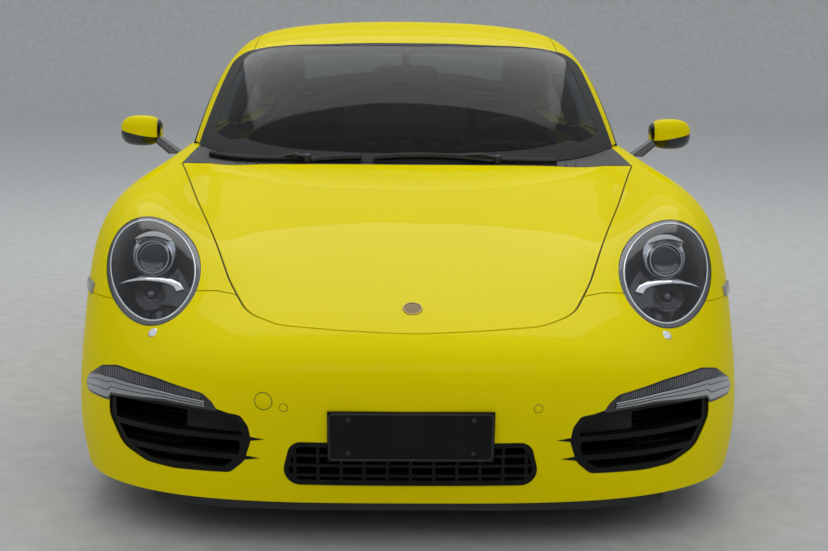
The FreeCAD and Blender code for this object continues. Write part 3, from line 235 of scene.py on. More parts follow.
def cabin_group():
    """1 on surfaces of the cabin that face its middle line, and on the windows' steep edges."""
    group, start, end = new_group("cabin_side", "Middle", 0.75, ["Inside"])
    where = add(group, "ShaderNodeTexCoord")
    place = add(group, "ShaderNodeSeparateXYZ", Vector=where.outputs["Object"])
    across, along, up = (place.outputs[axis] for axis in "XYZ")
    towards = add(group, "ShaderNodeCombineXYZ", X=reckon(group, "MULTIPLY", across, -1.0),
                  Z=reckon(group, "SUBTRACT", start.outputs["Middle"], up))
    unit = add(group, "ShaderNodeVectorMath", {"operation": "NORMALIZE"}, i0=towards.outputs["Vector"])
    facing = add(group, "ShaderNodeVectorMath", {"operation": "DOT_PRODUCT"}, i0=unit.outputs["Vector"],
                 i1=where.outputs["Normal"])
    inner = add(group, "ShaderNodeMapRange", Value=facing.outputs["Value"], From_Min=0.25, From_Max=0.35)
    behind_cowl = reckon(group, "GREATER_THAN", along, CABIN_FRONT)
    in_cabin = reckon(group, "MULTIPLY", behind_cowl, reckon(group, "LESS_THAN", along, CABIN_BACK))
    lined_face = reckon(group, "MULTIPLY", inner.outputs["Result"], in_cabin)
    tilt = add(group, "ShaderNodeSeparateXYZ", Vector=where.outputs["Normal"])
    steep = reckon(group, "COMPARE", tilt.outputs["Z"], 0.0, 0.14)
    rim = reckon(group, "MULTIPLY", steep, reckon(group, "GREATER_THAN", up, WAIST))
    rim = reckon(group, "MULTIPLY", rim, behind_cowl)
    rim = reckon(group, "MULTIPLY", rim, reckon(group, "LESS_THAN", along, LAST_WINDOW))
    near = reckon(group, "LESS_THAN", reckon(group, "ABSOLUTE", across), TRIM_REACH)
    trimmed = reckon(group, "MULTIPLY", reckon(group, "MAXIMUM", lined_face, rim), near)
    group.links.new(trimmed, end.inputs["Inside"])
    return group


def trim_inside(material):
    """Mixes the trim's colour into a paint by the mask, and takes the coat off there."""
    tree = material.node_tree
    shader = tree.nodes["Principled BSDF"]
    inside_mask = add(tree, "ShaderNodeGroup", {"node_tree": cabin_group()}).outputs["Inside"]
    colour = shader.inputs["Base Color"].links[0].from_socket
    mixed = add(tree, "ShaderNodeMix", {"data_type": "RGBA"}, i0=inside_mask, i6=colour, i7=TRIM_COLOUR)
    tree.links.new(mixed.outputs[2], shader.inputs["Base Color"])
    coat = add(tree, "ShaderNodeMapRange", Value=inside_mask, To_Max=0.0,
               To_Min=shader.inputs["Coat Weight"].default_value)
    tree.links.new(coat.outputs["Result"], shader.inputs["Coat Weight"])


trim_inside(paint)
print("paint has a trimmed inner side")

# %% [markdown]
# ## Glass and lamp covers
# Car glass is faintly green or grey. It stays a plain transmitting shader, with only a trace of
# dust in its roughness, so it also works where the model is exported.

# %% Make the clear finishes
DUST_ROUGHNESS = 0.004


def clear(name, colour, rough, amount, bend=1.3):
    """A clear material that lets amount of the light through and bends it by the index bend."""
    material = bpy.data.materials.new(name)
    material.use_nodes = True
    tree = material.node_tree
    shader = tree.nodes["Principled BSDF"]
    shader.inputs["Base Color"].default_value = (*colour, 1)
    shader.inputs["Transmission Weight"].default_value = amount
    shader.inputs["IOR"].default_value = bend
    dust = add(tree, "ShaderNodeGroup", {"node_tree": GRAIN}, Size=60.0)
    haze = add(tree, "ShaderNodeMapRange", Value=dust.outputs["Patches"], To_Min=rough,
               To_Max=rough + DUST_ROUGHNESS)
    tree.links.new(haze.outputs["Result"], shader.inputs["Roughness"])
    return material


glass = clear("window_glass", (0.34, 0.36, 0.36), 0.0, 1.0, 1.2)
lens = clear("lamp_cover", (0.95, 0.96, 0.97), 0.0, 1.0, 1.25)
red_lens = clear("lamp_cover_red", (0.55, 0.01, 0.01), 0.08, 0.35)
print("clear finishes:", glass.name, lens.name, red_lens.name)

# %% [markdown]
# ## Dressing the solids
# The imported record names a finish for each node. A node keeps its mesh and only gets a better
# material in its slots.

# %% Give every node its finish
SLOTS = {"paint": paint, "black_plastic": plastic, "gloss_black": gloss_black, "glass": glass,
         "lamp": lens, "red_lamp": red_lens, "structure": structure, "iron": iron, "alloy": alloy,
         "tyre": rubber, "leather": leather, "steel": steel}


def dress(node, material):
    """Puts a material into every slot of a node."""
    slots = nodes[node].data.materials
    for i in range(len(slots)):
        slots[i] = material
    if not slots:
        slots.append(material)


for part in frame["record"]["subparts"]:
    dress(part["node"], SLOTS[part["material_slot"]])

# %% [markdown]
# ## Making pieces
# Most added pieces are one outline carried along a path, such as a seal, or one profile turned
# about an axis, such as a lamp. Both give rows of points, and a helper joins the rows with
# faces. Places are measured from the nose tip, as on a body drawing, and turned into the frame.

# %% Helpers for meshes
HALF_LENGTH = round(-cad_box[0][1], 4)
SIDES = (("left", 1), ("right", -1))


def at(x, s, z):
    """A place in the frame from millimetres: across, back from the nose tip, up."""
    return Vector((x / 1000, s / 1000 - HALF_LENGTH, z / 1000))


def joined(rings, wrap=False):
    """Faces between rings that turn about the run; the ends are closed unless the run wraps."""
    count, width = len(rings), len(rings[0])
    points = [point for ring in rings for point in ring]
    faces = []
    for i in range(count if wrap else count - 1):
        low, high = i * width, (i + 1) % count * width
        for j in range(width):
            k = (j + 1) % width
            faces.append((low + j, low + k, high + k, high + j))
    if not wrap:
        faces += [tuple(range(width))[::-1], tuple(range((count - 1) * width, count * width))]
    return points, faces


def sweep(path, outline, wrap=False, up=(0, 0, 1)):
    """An outline of (left, up) carried along a path; up is one vector or one for each point."""
    rings, count = [], len(path)
    for i, here in enumerate(path):
        before = path[i - 1] if i or wrap else here
        after = path[(i + 1) % count] if i < count - 1 or wrap else here
        run = (after - before).normalized()
        lift = Vector(up[i]) if isinstance(up, list) else Vector(up)
        left = lift.cross(run).normalized()
        lift = run.cross(left)
        rings.append([here + left * a + lift * b for a, b in outline])
    return joined(rings, wrap)


def along_skin(rows, outline, lift=0.0, wrap=False):
    """An outline carried along (point, normal) rows, at a height of lift over the skin."""
    return sweep([point + normal * lift for point, normal in rows], outline, wrap,
                 [normal for point, normal in rows])


def lathe(profile, count, centre, axis):
    """A profile of (along the axis, radius), in millimetres, turned about the axis."""
    axis = Vector(axis).normalized()
    u = axis.orthogonal().normalized()
    v = axis.cross(u)
    turns = [2 * math.pi * k / count for k in range(count)]
    return joined([[centre + axis * (a / 1000) + (u * math.cos(t) + v * math.sin(t)) * (r / 1000)
                    for t in turns] for a, r in profile])


def circle(radius, count=12):
    turns = [2 * math.pi * k / count for k in range(count)]
    return [(radius * math.cos(turn), radius * math.sin(turn)) for turn in turns]


def pad(width, height, corner, steps=3):
    """A rectangle with round corners, as an outline."""
    points = []
    for a, b, start in ((1, -1, -90), (1, 1, 0), (-1, 1, 90), (-1, -1, 180)):
        for k in range(steps + 1):
            turn = math.radians(start + 90 * k / steps)
            points.append((a * (width / 2 - corner) + corner * math.cos(turn),
                           b * (height / 2 - corner) + corner * math.sin(turn)))
    return points


def together(*shapes):
    """Several shapes as one piece's points and faces."""
    points, faces = [], []
    for more_points, more_faces in shapes:
        faces += [tuple(len(points) + i for i in face) for face in more_faces]
        points += list(more_points)
    return points, faces


def show(name, mesh):
    """An object for a mesh, in the scene, with its faces shaded smooth."""
    mesh.polygons.foreach_set("use_smooth", [True] * len(mesh.polygons))
    piece = bpy.data.objects.new(name, mesh)
    bpy.context.scene.collection.objects.link(piece)
    return piece


def add_piece(name, shape, material, body, side=1, sharp=40):
    """A piece from its points and faces; with side -1 it is made for the car's other side."""
    points, faces = shape
    if side < 0:
        points = [(-p[0], p[1], p[2]) for p in points]
        faces = [tuple(reversed(face)) for face in faces]
    mesh = bpy.data.meshes.new(name)
    mesh.from_pydata([tuple(p) for p in points], [], faces)
    mesh.materials.append(material)
    piece = show(name, mesh)
    mesh.set_sharp_from_angle(angle=math.radians(sharp))
    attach(piece, body)
    return piece


# %% [markdown]
# ## Finding the skin
# Small parts such as washer caps sit on curved panels. A ray that is cast at a panel's mesh
# finds the exact point and the direction of the skin there, so nothing floats or sinks in.

# %% Helpers that find a panel's skin
skins = {}


def meet(node, start, towards):
    """Where a ray from start meets a node: the point and the normal, or None twice."""
    if node not in skins:
        mesh = nodes[node].data
        skins[node] = BVHTree.FromPolygons([v.co for v in mesh.vertices], [p.vertices for p in mesh.polygons])
    return skins[node].ray_cast(Vector(start), Vector(towards).normalized())[:2]


def on_front(node, x, z):
    return meet(node, at(x, -400, z), (0, 1, 0))


def on_top(node, x, s):
    return meet(node, at(x, s, 1900), (0, 0, -1))


def on_side(node, s, z):
    return meet(node, at(1300, s, z), (-1, 0, 0))


def on_tail(node, x, z):
    return meet(node, at(x, 4900, z), (0, -1, 0))


print("bonnet skin at its front:", tuple(round(v, 3) for v in on_top("front_lid", 0, 206)[0]))

# %% [markdown]
# ## Finishes for the small parts
# Lamps have bright reflectors and chrome, seals are dull rubber, mirrors are silvered glass, and
# the inside of the car is lined with dark cloth.

# %% Make the small parts' finishes
chrome = finish_of("bright_chrome", (0.72, 0.73, 0.75), (0.82, 0.83, 0.85), RIPPLE, 60.0,
                   0.02, 0.0002, 0.07, 0.02, Metallic=1.0)
reflector = finish_of("lamp_reflector", (0.35, 0.38, 0.44), (0.6, 0.62, 0.66), RIPPLE, 240.0,
                      0.3, 0.0008, 0.16, 0.05, Metallic=1.0)
lamp_grey = finish_of("lamp_ring_grey", (0.10, 0.105, 0.125), (0.14, 0.145, 0.17), RIPPLE, 60.0,
                      0.03, 0.0003, 0.2, 0.03, Coat_Weight=0.8, Coat_Roughness=0.03)
bar_grey = finish_of("lamp_bar_grey", (0.34, 0.35, 0.36), (0.46, 0.47, 0.48), RIPPLE, 300.0,
                     0.2, 0.0006, 0.22, 0.04, Metallic=0.35, Coat_Weight=0.8)
seal = finish_of("seal_rubber", (0.006, 0.006, 0.006), (0.012, 0.012, 0.012), GRAIN, 900.0,
                 0.2, 0.0003, 0.65)
silvered = finish_of("silvered_glass", (0.55, 0.58, 0.6), (0.6, 0.63, 0.65), RIPPLE, 8.0,
                     0.005, 0.0001, 0.02, Metallic=1.0)
lining = finish_of("lining_cloth", (0.012, 0.012, 0.013), (0.024, 0.024, 0.025), GRAIN, 1600.0,
                   0.5, 0.0008, 0.85, 0.05)
marker_lens = clear("lamp_cover_grey", (0.45, 0.45, 0.46), 0.1, 0.3)
gilt = finish_of("plain_gilt", (0.34, 0.23, 0.07), (0.44, 0.31, 0.11), RIPPLE, 300.0,
                 0.1, 0.0003, 0.25, 0.05, Metallic=1.0)
bronze = finish_of("plain_bronze", (0.10, 0.06, 0.015), (0.16, 0.10, 0.03), GRAIN, 700.0,
                   0.2, 0.0004, 0.35, 0.05, Metallic=0.8)
print("finishes so far:", len(bpy.data.materials))

# %% [markdown]
# ## Headlamps
# Each lamp is an oval opening in the wing. Behind the clear cover lie a grey ring, a thin chrome
# ring, a round projector, a chrome brow under it and a small lower lamp. The oval lies in a
# plane that leans back and outwards, so a small frame of its own makes every part easy to place.

# %% The lamp's own frame
LAMP_CENTRE = at(678, 430.3, 640)
LAMP_FRAME = Matrix.Rotation(math.radians(12), 3, "Z") @ Matrix.Rotation(math.radians(-20), 3, "X")
LAMP_TURN = math.radians(35.6)
LAMP_OUT = LAMP_FRAME @ Vector((0, -1, 0))
LAMP_LONG, LAMP_SHORT = 184, 118
BEAM = Vector((0.02, -0.985, 0.17))
PROJECTOR = (22, 43)
LOWER_LAMP = (-6, -66)
BROW = ((104, -52), (84, -38), (60, -31), (30, -27), (0, -26), (-30, -28), (-58, -33), (-78, -42), (-92, -58))


def in_lamp(u, v, depth):
    """A point behind the cover: u outwards and v up in the lamp's plane, in millimetres."""
    start = LAMP_CENTRE + LAMP_FRAME @ Vector((u / 1000, 0, v / 1000)) + LAMP_OUT * 0.5
    point, normal = meet("lamp_covers", start, -LAMP_OUT)
    return point - LAMP_OUT * depth / 1000, normal


def lamp_oval(inset, depth, count=72):
    """(point, normal) rows round the oval, a little inside its edge."""
    rows = []
    for k in range(count):
        turn = 2 * math.pi * k / count
        far, near = (LAMP_LONG - inset) * math.cos(turn), (LAMP_SHORT - inset) * math.sin(turn)
        rows.append(in_lamp(far * math.sin(LAMP_TURN) + near * math.cos(LAMP_TURN),
                            far * math.cos(LAMP_TURN) - near * math.sin(LAMP_TURN), depth))
    return rows


def lamp_disc(place, depth, profile):
    """A part that is turned about the beam's direction."""
    return lathe(profile, 40, in_lamp(*place, depth)[0], BEAM)


def lamp_hood(depth):
    """The bright reflector over the projector, from ten to two o'clock."""
    centre = in_lamp(*PROJECTOR, depth)[0]
    across, up = Vector((1, 0, 0)), Vector((0, 0.17, 0.985))
    section = ((-0.012, 0.049), (0.012, 0.050), (0.018, 0.056), (0.020, 0.069), (0.012, 0.071),
               (-0.012, 0.062))
    rings = []
    for k in range(17):
        turn = math.radians(-46 + 92 * k / 16)
        away = across * math.sin(turn) + up * math.cos(turn)
        rings.append([centre + away * r + BEAM * a for a, r in section])
    return joined(rings)


# %% Rings, projector, brow and lower lamp
def lamp_parts():
    """The lamp's pieces by name: shape, material and slot."""
    tube = [(a * 1.3, b) for a, b in circle(0.0036)]
    brow = [in_lamp(u, v, 34)[0] for u, v in BROW]
    socket = [(-14, 47), (2, 47), (6, 44), (6, 41), (0, 39), (-14, 38)]
    shroud = [(-8, 66), (0, 62), (8, 52), (9, 48), (-8, 48)]
    bulge = [(0, 38), (8, 37), (16, 32), (21, 22), (23.5, 10), (24, 2)]
    iris = [(0, 40), (2, 39), (3, 20), (1, 8)]
    bowl = [(-10, 26), (4, 40), (7, 40), (3, 33), (5, 31), (1, 24), (3, 22), (-4, 12), (-8, 4)]
    bulb = [(-6, 10), (3, 9), (6, 5), (7, 1)]
    return {
        "lamp_ring_chrome": (along_skin(lamp_oval(15, 8), tube, wrap=True), chrome, "steel"),
        "lamp_ring_grey": (along_skin(lamp_oval(8, 6.5), pad(0.013, 0.002, 0.0008), wrap=True), lamp_grey,
                           "gloss_black"),
        "lamp_projector_ring": (lamp_disc(PROJECTOR, 62, socket), chrome, "steel"),
        "lamp_projector_shroud": (lamp_disc(PROJECTOR, 74, shroud), reflector, "steel"),
        "lamp_projector_lens": (lamp_disc(PROJECTOR, 72, bulge), glass, "glass"),
        "lamp_projector_iris": (lamp_disc(PROJECTOR, 80, iris), gloss_black, "gloss_black"),
        "lamp_lower_bowl": (lamp_disc(LOWER_LAMP, 58, bowl), gloss_black, "gloss_black"),
        "lamp_lower_bulb": (lamp_disc(LOWER_LAMP, 60, bulb), lamp_grey, "gloss_black"),
        "lamp_hood": (lamp_hood(66), chrome, "steel"),
        "lamp_brow": (sweep(brow, pad(0.022, 0.007, 0.003), up=(0, -0.35, 0.94)), chrome, "steel"),
    }


for side, sign in SIDES:
    for name, (shape, material, slot) in lamp_parts().items():
        add_piece(f"{name}_{side}", shape, material, "body", sign)
dress("headlamps", gloss_black)
print("parts in each lamp:", len(lamp_parts()))

# %% [markdown]
# ## Running lamps
# The strip over each intake has two storeys: a dark field of small ribs above and a pale clear
# bar below, which turns round the corner of the bumper. Both follow the bumper's skin.

# %% A helper for thin sheets
def thin_sheet(name, grid, material, body, thick=0.002, side=1, reach=0.14):
    """A thin closed sheet through a grid of points; where a point is missing the sheet has a gap."""
    form = bmesh.new()
    spots = [[form.verts.new(p) if p is not None else None for p in row] for row in grid]
    for low, high in zip(spots, spots[1:]):
        for i in range(len(low) - 1):
            corners = (low[i], low[i + 1], high[i + 1], high[i])
            if None in corners:
                continue
            if max((a.co - b.co).length for a, b in zip(corners, corners[1:] + corners[:1])) < reach:
                form.faces.new(corners)
    bmesh.ops.delete(form, geom=[v for v in form.verts if not v.link_faces], context="VERTS")
    bmesh.ops.recalc_face_normals(form, faces=form.faces[:])
    bmesh.ops.solidify(form, geom=form.faces[:], thickness=thick)
    form.verts.index_update()
    shape = ([v.co.copy() for v in form.verts], [tuple(v.index for v in face.verts) for face in form.faces])
    form.free()
    return add_piece(name, shape, material, body, side, 50)


# %% Lay the bar and the ribs on the strip
BAR_TOP = ((494, 374), (620, 384), (749, 388), (800, 384), (846, 370))
BAR_STEPS = 8
RIBS = 56


def strip_heights(x):
    """The lowest and highest point of the lamp's face at a place across the car."""
    found = [z for z in range(322, 428) if on_front("running_lamps", x, z)[0] is not None]
    return (found[0], found[-1]) if len(found) > 4 else None


def bar_top(x):
    """The height of the line between the bar and the ribs."""
    for (x0, z0), (x1, z1) in zip(BAR_TOP, BAR_TOP[1:]):
        if x <= x1:
            return z0 + (z1 - z0) * (x - x0) / (x1 - x0)
    return BAR_TOP[-1][1]


def bar_rows():
    """Rows of points over the bar's face, which is crowned and faintly stepped."""
    rows = []
    for x in range(498, 845, 6):
        heights = strip_heights(x)
        if heights is None:
            continue
        low, top = heights[0] + 6, min(bar_top(x), heights[1] - 3)
        if top <= low + 3:
            continue
        row = []
        for k in range(BAR_STEPS + 1):
            point, normal = on_front("running_lamps", x, low + (top - low) * k / BAR_STEPS)
            crown = 0.0012 + 0.0022 * math.sin(math.pi * k / BAR_STEPS) + (0.0007 if k % 2 else 0)
            row.append(point + normal * crown if point is not None else None)
        rows.append(row)
    return rows


def strip_ribs():
    """Short upright ribs between the bar and the strip's upper edge."""
    ribs = []
    for k in range(RIBS):
        x = 512 + 300 * k / (RIBS - 1)
        heights = strip_heights(x)
        if heights is None or heights[1] - bar_top(x) < 9:
            continue
        rows = [on_front("running_lamps", x, z) for z in (bar_top(x) + 3, heights[1] - 4)]
        ribs.append(along_skin(rows, pad(0.0024, 0.0016, 0.0007, 1), 0.0003))
    return together(*ribs)


def running_lamp(side, sign):
    bar = bar_rows()
    thin_sheet("strip_bar_" + side, bar, bar_grey, "body", 0.002, sign)
    for number, share in ((1, 3), (2, 6)):
        line = [row[share] + Vector((0, -0.0006, 0)) for row in bar
                if row[share] is not None and (row[-1] - row[0]).length > 0.014]
        add_piece(f"strip_line_{number}_{side}", sweep(line, pad(0.0022, 0.0016, 0.0006, 1), up=(0, -1, 0)),
                  gloss_black, "body", sign)
    add_piece("strip_ribs_" + side, strip_ribs(), lamp_grey, "body", sign)


for side, sign in SIDES:
    running_lamp(side, sign)
dress("running_lamps", gloss_black)
print("strip lamps done")

# %% [markdown]
# ## Small parts on the nose
# A round cover hides the towing eye, two parking sensors sit in the bumper, and each lamp has a
# washer cap just under it. The plate carrier is a plain black panel, and the bonnet's nose has a
# plain oval plate. Round parts are turned about the direction of the skin.

# %% Place round parts on the skin
SENSOR = [(-3, 9.5), (0.4, 9.5), (1.0, 8.5), (1.2, 1)]
SENSOR_GAP = [(-3, 11), (0.25, 11), (0.3, 9), (0.2, 1)]
WASHER_CAP = [(-4, 13), (1.2, 13), (2.4, 11.5), (2.8, 8), (3.0, 1)]
TOWING_COVER = [(-3, 20.5), (0.6, 20.5), (1.3, 19.5), (1.5, 1)]
TOWING_GAP = [(-3, 22.5), (0.3, 22.5), (0.35, 20), (0.2, 1)]


def stud(name, place, profile, material, side=1):
    """A turned part at a (point, normal) place on the skin."""
    return add_piece(name, lathe(profile, 28, *place), material, "body", side)


for side, sign in SIDES:
    stud("washer_cap_" + side, on_front("front_bumper", 647, 507), WASHER_CAP, chrome, sign)
    sensor_place = on_front("front_bumper", 304, 371)
    stud("nose_sensor_" + side, sensor_place, SENSOR, paint, sign)
    stud("nose_sensor_gap_" + side, sensor_place, SENSOR_GAP, seal, sign)
    stud("tail_sensor_" + side, on_tail("rear_bumper", 430, 520), SENSOR, paint, sign)
towing_place = on_front("front_bumper", -353, 385)
stud("towing_cover_gap", towing_place, TOWING_GAP, seal)
stud("towing_cover", towing_place, TOWING_COVER, paint)


def nose_oval(name, profile, material):
    """A plain oval plate that follows the slope of the bonnet's nose."""
    point, normal = on_top("front_lid", 4, 206)
    along = normal.cross(Vector((1, 0, 0))).normalized()
    points, faces = lathe(profile, 48, point, normal)
    points = [p + along * ((p - point).dot(along) * 0.36) for p in points]
    return add_piece(name, (points, faces), material, "bonnet")


nose_oval("bonnet_oval_rim", [(-3, 25), (1.4, 25), (2.8, 24), (3.0, 22.5), (1.6, 21), (-3, 20.8)], gilt)
nose_oval("bonnet_oval_field", [(-3, 20.6), (1.2, 20.6), (1.9, 12), (2.1, 1)], bronze)
print("round parts placed")


# %% Side markers and the plate's edge
MARKER_HEIGHT = 576
PLATE_EDGE = (390, 118, 10)
PLATE_HEIGHT = 302
SCREW_HEAD = [(-2, 6), (1.2, 6), (2.2, 4), (2.4, 0.5)]
SCREWS = ((-150, 346), (150, 346), (-150, 260), (150, 260))


def side_marker(side, sign):
    """A flat lens low on the corner, ahead of the wheel, just over the bumper's seam."""
    rows = []
    for s in range(506, 611, 8):
        hits = [on_side(node, s, MARKER_HEIGHT) for node in ("front_bumper", "wing_left")]
        hits = [hit for hit in hits if hit[0] is not None]
        if hits:
            rows.append(max(hits, key=lambda hit: hit[0].x))
    add_piece("side_marker_" + side, along_skin(rows, pad(0.030, 0.012, 0.005), 0.001), marker_lens, "body",
              sign)


for side, sign in SIDES:
    side_marker(side, sign)


def plate_edge():
    """A raised edge round the blank plate, and four plain screw heads."""
    path = [on_front("front_plate", x, z + PLATE_HEIGHT)[0] for x, z in pad(*PLATE_EDGE, 4)]
    heads = [lathe(SCREW_HEAD, 16, on_front("front_plate", x, z)[0], (0, -1, 0)) for x, z in SCREWS]
    edge = sweep(path, pad(0.006, 0.006, 0.002), True, (0, -1, 0))
    return add_piece("plate_edge", together(edge, *heads), plastic, "body")


plate_edge()
for node in ("front_plate", "side_grilles", "centre_grille"):
    dress(node, grille_black)
print("nose parts placed")

# %% [markdown]
# ## Ducts behind the grilles
# The intakes lead to radiators. Without something behind the slats one would look into an empty
# nose, so a finned dark sheet closes each duct a little way in. A flat tray under them keeps the
# floor from showing through the open bonnet.

# %% Close the ducts with finned sheets
FIN_PITCH = 12


def finned(x0, x1, z0, z1, s, bow):
    """Rows of thin fins between two heights, and a sheet behind them; bow leans the ends back."""
    def across(z, back=0):
        return [at(x0 + (x1 - x0) * j / 8, s + back + bow * (j / 8) ** 2, z) for j in range(9)]

    count = int((z1 - z0) / FIN_PITCH)
    fins = [sweep(across(z0 + (z1 - z0) * k / count), pad(0.012, 0.003, 0.001, 1)) for k in range(count + 1)]
    sheet = sweep(across((z0 + z1) / 2, 14), pad(0.004, (z1 - z0 + 20) / 1000, 0.001, 1))
    return together(*fins, sheet)


for side, sign in SIDES:
    add_piece("duct_fins_" + side, finned(500, 800, 215, 340, 300, 150), grille_black, "body",
              sign)
tray = [[at(610 * k / 8, s, 152) for k in range(-8, 9)] for s in range(190, 631, 55)]
thin_sheet("nose_tray", tray, grille_black, "body", 0.003)
add_piece("centre_duct_fins", finned(-300, 300, 175, 235, 230, 0), grille_black, "body")
print("ducts closed")

# %% [markdown]
# ## Printed borders of the windows
# Car glass has a black border printed along its edge, which hides the glue. On the windscreen it
# is widest at the lower corners. The edge of each pane is found by halving steps from its centre,
# and a thin band follows it.

# %% Helpers for a pane's edge
def pane_outline(find, centre, reach, count):
    """The edge of a pane as seen along the ray's direction."""
    outline = []
    for k in range(count):
        turn = 2 * math.pi * k / count
        low, high = 0.0, reach
        for step in range(13):
            middle = (low + high) / 2
            hit = find(centre[0] + middle * math.cos(turn), centre[1] + middle * math.sin(turn))[0]
            low, high = (low, middle) if hit is None else (middle, high)
        outline.append((centre[0] + low * math.cos(turn), centre[1] + low * math.sin(turn)))
    return outline


def inward(outline, centre, width_at):
    """The outline drawn towards the centre by a width that depends on the place."""
    inner = []
    for a, b in outline:
        gap = math.hypot(a - centre[0], b - centre[1])
        keep = (gap - width_at(a, b)) / gap
        inner.append((centre[0] + (a - centre[0]) * keep, centre[1] + (b - centre[1]) * keep))
    return inner


# %% Lay the borders on the glass
BAND_STEPS = (0.03, 0.35, 0.68, 1.0)
BAND_LOOP = (0, 2, 4, 6, 7, 5, 3, 1)


def printed_border(name, find, centre, reach, width_at, body="body", side=1, count=110):
    """A thin band on a pane, from its edge inwards, as wide as width_at says for each place."""
    outer = pane_outline(find, centre, reach, count)
    points, faces = [], []
    for (a, b), (c, d) in zip(outer, inward(outer, centre, width_at)):
        last = None
        for step in BAND_STEPS:
            point, normal = find(a + (c - a) * step, b + (d - b) * step)
            if point is None:
                point, normal = last
            last = (point, normal)
            points += [point + normal * 0.0008, point + normal * 0.0002]
    size = len(BAND_LOOP)
    for k in range(count):
        low, high = k * size, (k + 1) % count * size
        for here, beside in zip(BAND_LOOP, BAND_LOOP[1:] + BAND_LOOP[:1]):
            faces.append((low + here, low + beside, high + beside, high + here))
    return add_piece(name, (points, faces), seal, body, side)


def screen_width(x, s):
    """The windscreen's border: wide at the lower corners, narrow under the roof's edge."""
    if s < 1700:
        return 34 + 40 * min(1, abs(x) / 600) ** 2
    return 24 if s > 2090 and abs(x) < 560 else 52


printed_border("screen_border", partial(on_top, "windscreen"), (0, 1860), 1000, screen_width, count=160)
printed_border("rear_screen_border", partial(on_top, "rear_window"), (0, 3430), 800,
               lambda x, s: 70 if s > 3700 else 40)
for side, sign in SIDES:
    printed_border("door_glass_border_" + side, partial(on_side, "door_glass_left"), (2420, 1000), 800,
                   lambda s, z: 16, side + "_door", sign)
    printed_border("quarter_border_" + side, partial(on_side, "quarter_windows"), (2990, 1000), 600,
                   lambda s, z: 20, "body", sign)
print("borders laid")

# %% [markdown]
# ## Wipers and cowl
# Between bonnet and glass lies a black cowl with short ribs along its front edge. The two wipers
# park along it. Each has a blade that follows the glass and an arm that rises from its spindle.

# %% Wipers and cowl ribs
BLADE = [(-0.006, -0.008), (0.006, -0.008), (0.010, 0.002), (0.003, 0.009), (-0.003, 0.009), (-0.010, 0.002)]
SPINDLE = [(-20, 13), (6, 13), (10, 10), (11, 2)]
COWL_RIBS = 36


def on_glass(x, s, lift=0.0):
    """The higher of the windscreen and the cowl at a place, with lift added, and the normal."""
    hits = [on_top(node, x, s) for node in ("windscreen", "cowl")]
    point, normal = max((hit for hit in hits if hit[0] is not None), key=lambda hit: hit[0].z)
    return point + normal * lift, normal


def wiper(name, start, end, pivot):
    """A blade along the glass from start to end, an arm from its pivot and a spindle."""
    rows = [on_glass(start[0] + (end[0] - start[0]) * k / 16, start[1] + (end[1] - start[1]) * k / 16, 0.011)
            for k in range(17)]
    foot = on_glass(*pivot, 0.018)[0]
    middle = on_glass((start[0] + end[0]) / 2, (start[1] + end[1]) / 2, 0.021)[0]
    halfway = (foot + middle) / 2 + Vector((0, 0, 0.008))
    shape = together(along_skin(rows, BLADE), along_skin(rows, pad(0.003, 0.006, 0.001, 1), -0.009),
                     sweep([foot, halfway, middle], pad(0.016, 0.008, 0.003, 2)),
                     lathe(SPINDLE, 20, foot, (0, -0.2, 0.98)))
    return add_piece(name, shape, plastic, "body")


wiper("wiper_left", (500, 1546), (-110, 1524), (300, 1530))
wiper("wiper_right", (-150, 1530), (-660, 1572), (-330, 1532))
cowl_ribs = []
for k in range(COWL_RIBS):
    x = -560 + 1120 * k / (COWL_RIBS - 1)
    rows = [on_top("cowl", x, s) for s in (1514, 1530)]
    if all(point is not None for point, normal in rows):
        cowl_ribs.append(along_skin(rows, pad(0.005, 0.005, 0.0015, 1), 0.0015))
add_piece("cowl_ribs", together(*cowl_ribs), plastic, "body")
print("cowl ribs:", len(cowl_ribs))

# %% [markdown]
# ## Seals in the shut lines
# Behind the narrow gaps round the bonnet and the doors lies black rubber, which is why shut lines
# look dark on a bright car. Each seal follows its panel's edge, a few millimetres under the skin,
# and stays on the body when the panel opens.

# %% Lay the seals
SEAL_DEPTH, SEAL_OUT = 0.006, 0.0045
SEAL_COUNT = 150


def seal_round(name, find, centre, reach, plane, side=1):
    """A seal round a panel; plane turns the two directions of find into the frame."""
    edge = pane_outline(find, centre, reach, SEAL_COUNT)
    rows = []
    for (a, b), (c, d) in zip(edge, inward(edge, centre, lambda a, b: 3)):
        point, normal = find(c, d)
        if point is None:
            continue
        away = plane(a - centre[0], b - centre[1])
        away = (away - normal * away.dot(normal)).normalized()
        rows.append((point + away * SEAL_OUT - normal * SEAL_DEPTH, normal))
    return add_piece(name, along_skin(rows, pad(0.007, 0.004, 0.0015, 1), wrap=True), seal, "body",
                     side)


seal_round("bonnet_seal", partial(on_top, "front_lid"), (0, 860), 1100, lambda a, b: Vector((a, b, 0)))
for side, sign in SIDES:
    seal_round("door_seal_" + side, partial(on_side, "door_left"), (2200, 560), 900,
               lambda a, b: Vector((0, a, b)), sign)
print("seals laid")

# %% [markdown]
# ## Two-tone mirrors
# The mirror's upper shell is painted, while its base and the underside are black plastic. The
# copy of the solid's mesh is cut along the seam, so that the colours meet at a clean line, and
# stands for the solid. The silvered glass is a thin pane on the side that faces the driver.

# %% Split the mirrors by colour and fit the glass
SEAM_PLACE, SEAM_HEIGHT = 930, 910
SHELL_START = 0.862
MIRROR_CENTRE = (922, 916)
MIRROR_GLASS = (112, 68, 26)


